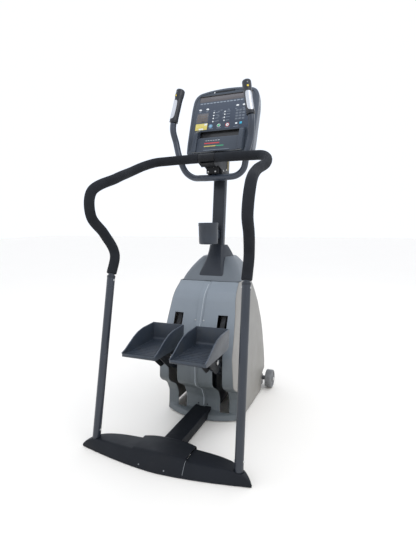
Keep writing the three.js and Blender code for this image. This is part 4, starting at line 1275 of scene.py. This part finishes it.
# The slot keeps its depth; a thin black sheet lines it as painted shade.
slot_shade = [slab((-145.6, 145.6), (91.4, 139.6), (-17.6, -16.5))]
slot_shade += [slab((-145.6, 145.6), ys, (-17.6, -3)) for ys in ((91.4, 92.2), (138.8, 139.6))]
slot_shade += [slab(xs, (91.4, 139.6), (-17.6, -3)) for xs in ((-145.6, -144.8), (144.8, 145.6))]
fixed(on_console(joined("rack_slot_painted_shade", slot_shade)), "ink_and_shade", "console_grey")


def printed(name, look, shapes, slot="face_blue"):
    obj = on_console(joined(name, shapes))
    fixed(obj, look, slot)


white = [key(x, y, 8.6, 1.3, 0.62) for x, y in ((-146, 283), (-101, 284), (80, 289), (118, 289))]
for x in (-58, 9):
    white += [key(x, y, 4.2, 1.2) for y in (257, 239, 220, 200)]
white += [tile((79, 91), (169, 179), 1.2, 0.5)]
printed("keys_white", "white_key", white)

printed("key_start", "blue_key", [key(-68, 171, 8.5, 1.3), ring_mark(-68, 171, 12, 10.2, 0.8)])
printed("key_green", "green_key", [key(-19, 172, 7, 1.3)])
printed("key_green_ring", "white_key", [ring_mark(-19, 172, 10.5, 8.2, 0.8)])
printed("key_red", "red_key", [ring_mark(33, 171, 12, 9.4, 0.9)])
printed("key_stop", "white_key", [key(33, 171, 8.6, 1.3)])
printed("key_dot", "ink_and_shade", [key(33, 171, 3.2, 1.5)])
printed("key_cyan", "cyan_key", [tile((104, 118), (168.5, 181.5), 1.2, 0.6)])

pad = []
for row in range(4):
    for column in range(3):
        x, y = 82 + 19.5 * column, 202 + 18 * row
        pad.append(tile((x - 7.5, x + 7.5), (y - 6, y + 6), 1.1, 0.5))
for k in range(5):
    x = -34 + 14 * (k % 2) * 2.1
    pad.append(tile((x, x + 12), (198 + 15 * k, 206 + 15 * k), 0.8, 0.4))
printed("keys_grey", "grey_key", pad)

labels = [tile((-152 + 20.4 * k, -137 + 20.4 * k), (320, 326), 0.4) for k in range(15)]
labels += [tile((-152 + 44 * k, -140 + 44 * k), (268, 270.5), 0.4) for k in range(7)]
labels += [tile((-48, -28), (y, y + 2), 0.4) for y in (200, 220, 239, 256)]
labels += [tile((18, 40), (y, y + 2), 0.4) for y in (200, 220, 239, 256)]
labels += [tile((-80 + 50 * k, -52 + 50 * k), (154, 156), 0.4) for k in range(4)]
printed("printed_marks", "label", labels)

printed("small_display", "lens", [tile((-161, -92), (200, 258), 0.6, 0.6)], "lens")
frame_bars = [tile((-164, -89), (y, y + 2), 1) for y in (197, 259)]
frame_bars += [tile((x, x + 2), (197, 261), 1) for x in (-164, -91)]
printed("small_display_frame", "grey_key", frame_bars)
readings = []
for k in range(12):
    x, y = -155 + 15 * (k % 4), 208 + 15 * (k // 4)
    readings.append(tile((x, x + 10), (y, y + 6), 0.8, above=0.5))
printed("small_display_segments", "segment", readings, "lens")
printed("sticker_plain", "sticker", [tile((-162, -89), (151, 193), 0.3, 0.1)])
patches = [tile((-108, -92), (180, 191), 0.5, above=0.3), tile((-140, -112), (153, 162), 0.5, above=0.3)]
printed("sticker_patches", "white_key", patches)

RACK_HALF = 146
front_side = rounded([(4, 0.4), (-9, 30), (80, 30), (80, 0.4)], 5, 4)
end_side = rounded([(6, 0.4), (-12, 38), (112, 38), (147, 0.4)], 7, 4)
rack_parts = [prism("rack_front", front_side, -RACK_HALF + 12, RACK_HALF - 12)]
rack_parts.append(prism("rack_end", end_side, RACK_HALF - 24, RACK_HALF))
rack_parts.append(prism("rack_end", end_side, -RACK_HALF, -RACK_HALF + 24))
rack = on_console(joined("reading_rack_shape", [bevelled(part, 2.2, 3, 40) for part in rack_parts]))
fixed(rack, "console", "console_grey", "reading_rack")

RACK_Z = 30
BARS = [  # name, look, left, right, low, high
    ("text", "white_key", -72, -62, 58, 60),
    ("red", "red_key", -76, 13, 39.5, 45.5),
    ("yellow", "sticker", -76, -6, 22, 27),
    ("green", "green_key", -4, 40, 22, 27),
    ("grey", "label", -76, 74, 0, 2),
]
for bar, look, left, right, low, high in BARS:
    shifts = range(0, 90, 15) if bar == "text" else (0,)
    bars = [slab((left + dx, right + dx), (low, high), (RACK_Z, RACK_Z + 0.3)) for dx in shifts]
    printed(f"rack_{bar}_bar", look, bars, "console_grey")
printed("rim_mark", "white_key", [slab((-75, -69), (387, 398), (-2.6, -1.0))], "console_grey")

# ---- floor, light and camera ------------------------------------------------------------
floor_verts = [(-20, -20, 0), (20, -20, 0), (20, 20, 0), (-20, 20, 0)]
floor = make("floor", floor_verts, [(0, 1, 2, 3)], scale=1.0)
floor_look = Surface("studio_floor", (0.965, 0.920, 0.850), 0.8)
floor_look.tint(floor_look.ramp(floor_look.noise(0.8, 2), 0.3, 0.7, 0, 0.3), (0.945, 0.900, 0.830))
floor.data.materials.append(floor_look.material)

world = bpy.data.worlds.new("studio")
world.use_nodes = True
world.node_tree.nodes["Background"].inputs["Color"].default_value = (1, 1.05, 1.14, 1)
world.node_tree.nodes["Background"].inputs["Strength"].default_value = 1.0
bpy.context.scene.world = world


def soft_light(name, place, target, size, power, colour=(1, 1, 1)):
    data = bpy.data.lights.new(name, "AREA")
    data.size = size
    data.energy = power
    data.color = colour
    lamp = bpy.data.objects.new(name, data)
    lamp.location = place
    lamp.rotation_euler = (Vector(target) - Vector(place)).to_track_quat("-Z", "Y").to_euler()
    bpy.context.scene.collection.objects.link(lamp)


soft_light("key_light", (3.2, -2.0, 3.6), (0, 0, 0.8), 2.4, 38, (1, 0.99, 0.97))
soft_light("fill_light", (-3.4, -2.4, 2.6), (0, 0, 0.9), 2.6, 9, (0.93, 0.96, 1))
soft_light("back_light", (0.5, 3.6, 3.0), (0, 0, 1.0), 2.4, 9)
soft_light("top_light", (0, 0.2, 4.2), (0, 0, 1), 3.0, 14, (0.78, 0.87, 1))

camera_data = bpy.data.cameras.new("camera")
camera_data.sensor_fit = "VERTICAL"
camera_data.sensor_height = 36
camera_data.lens = 26.0
camera = bpy.data.objects.new("camera", camera_data)
yaw, pitch, roll = math.radians(22.36), math.radians(8.38), math.radians(-0.67)
look = Vector((-math.sin(yaw) * math.cos(pitch), math.cos(yaw) * math.cos(pitch), -math.sin(pitch)))
right = Vector((math.cos(yaw), math.sin(yaw), 0))
up = right.cross(look)
right, up = right * math.cos(roll) + up * math.sin(roll), up * math.cos(roll) - right * math.sin(roll)
turned = Matrix((right, up, -look)).transposed().to_4x4()
camera.matrix_world = Matrix.Translation((0.816, -1.906, 1.063)) @ turned
bpy.context.scene.collection.objects.link(camera)
bpy.context.scene.camera = camera
bpy.context.scene.view_settings.view_transform = "Standard"
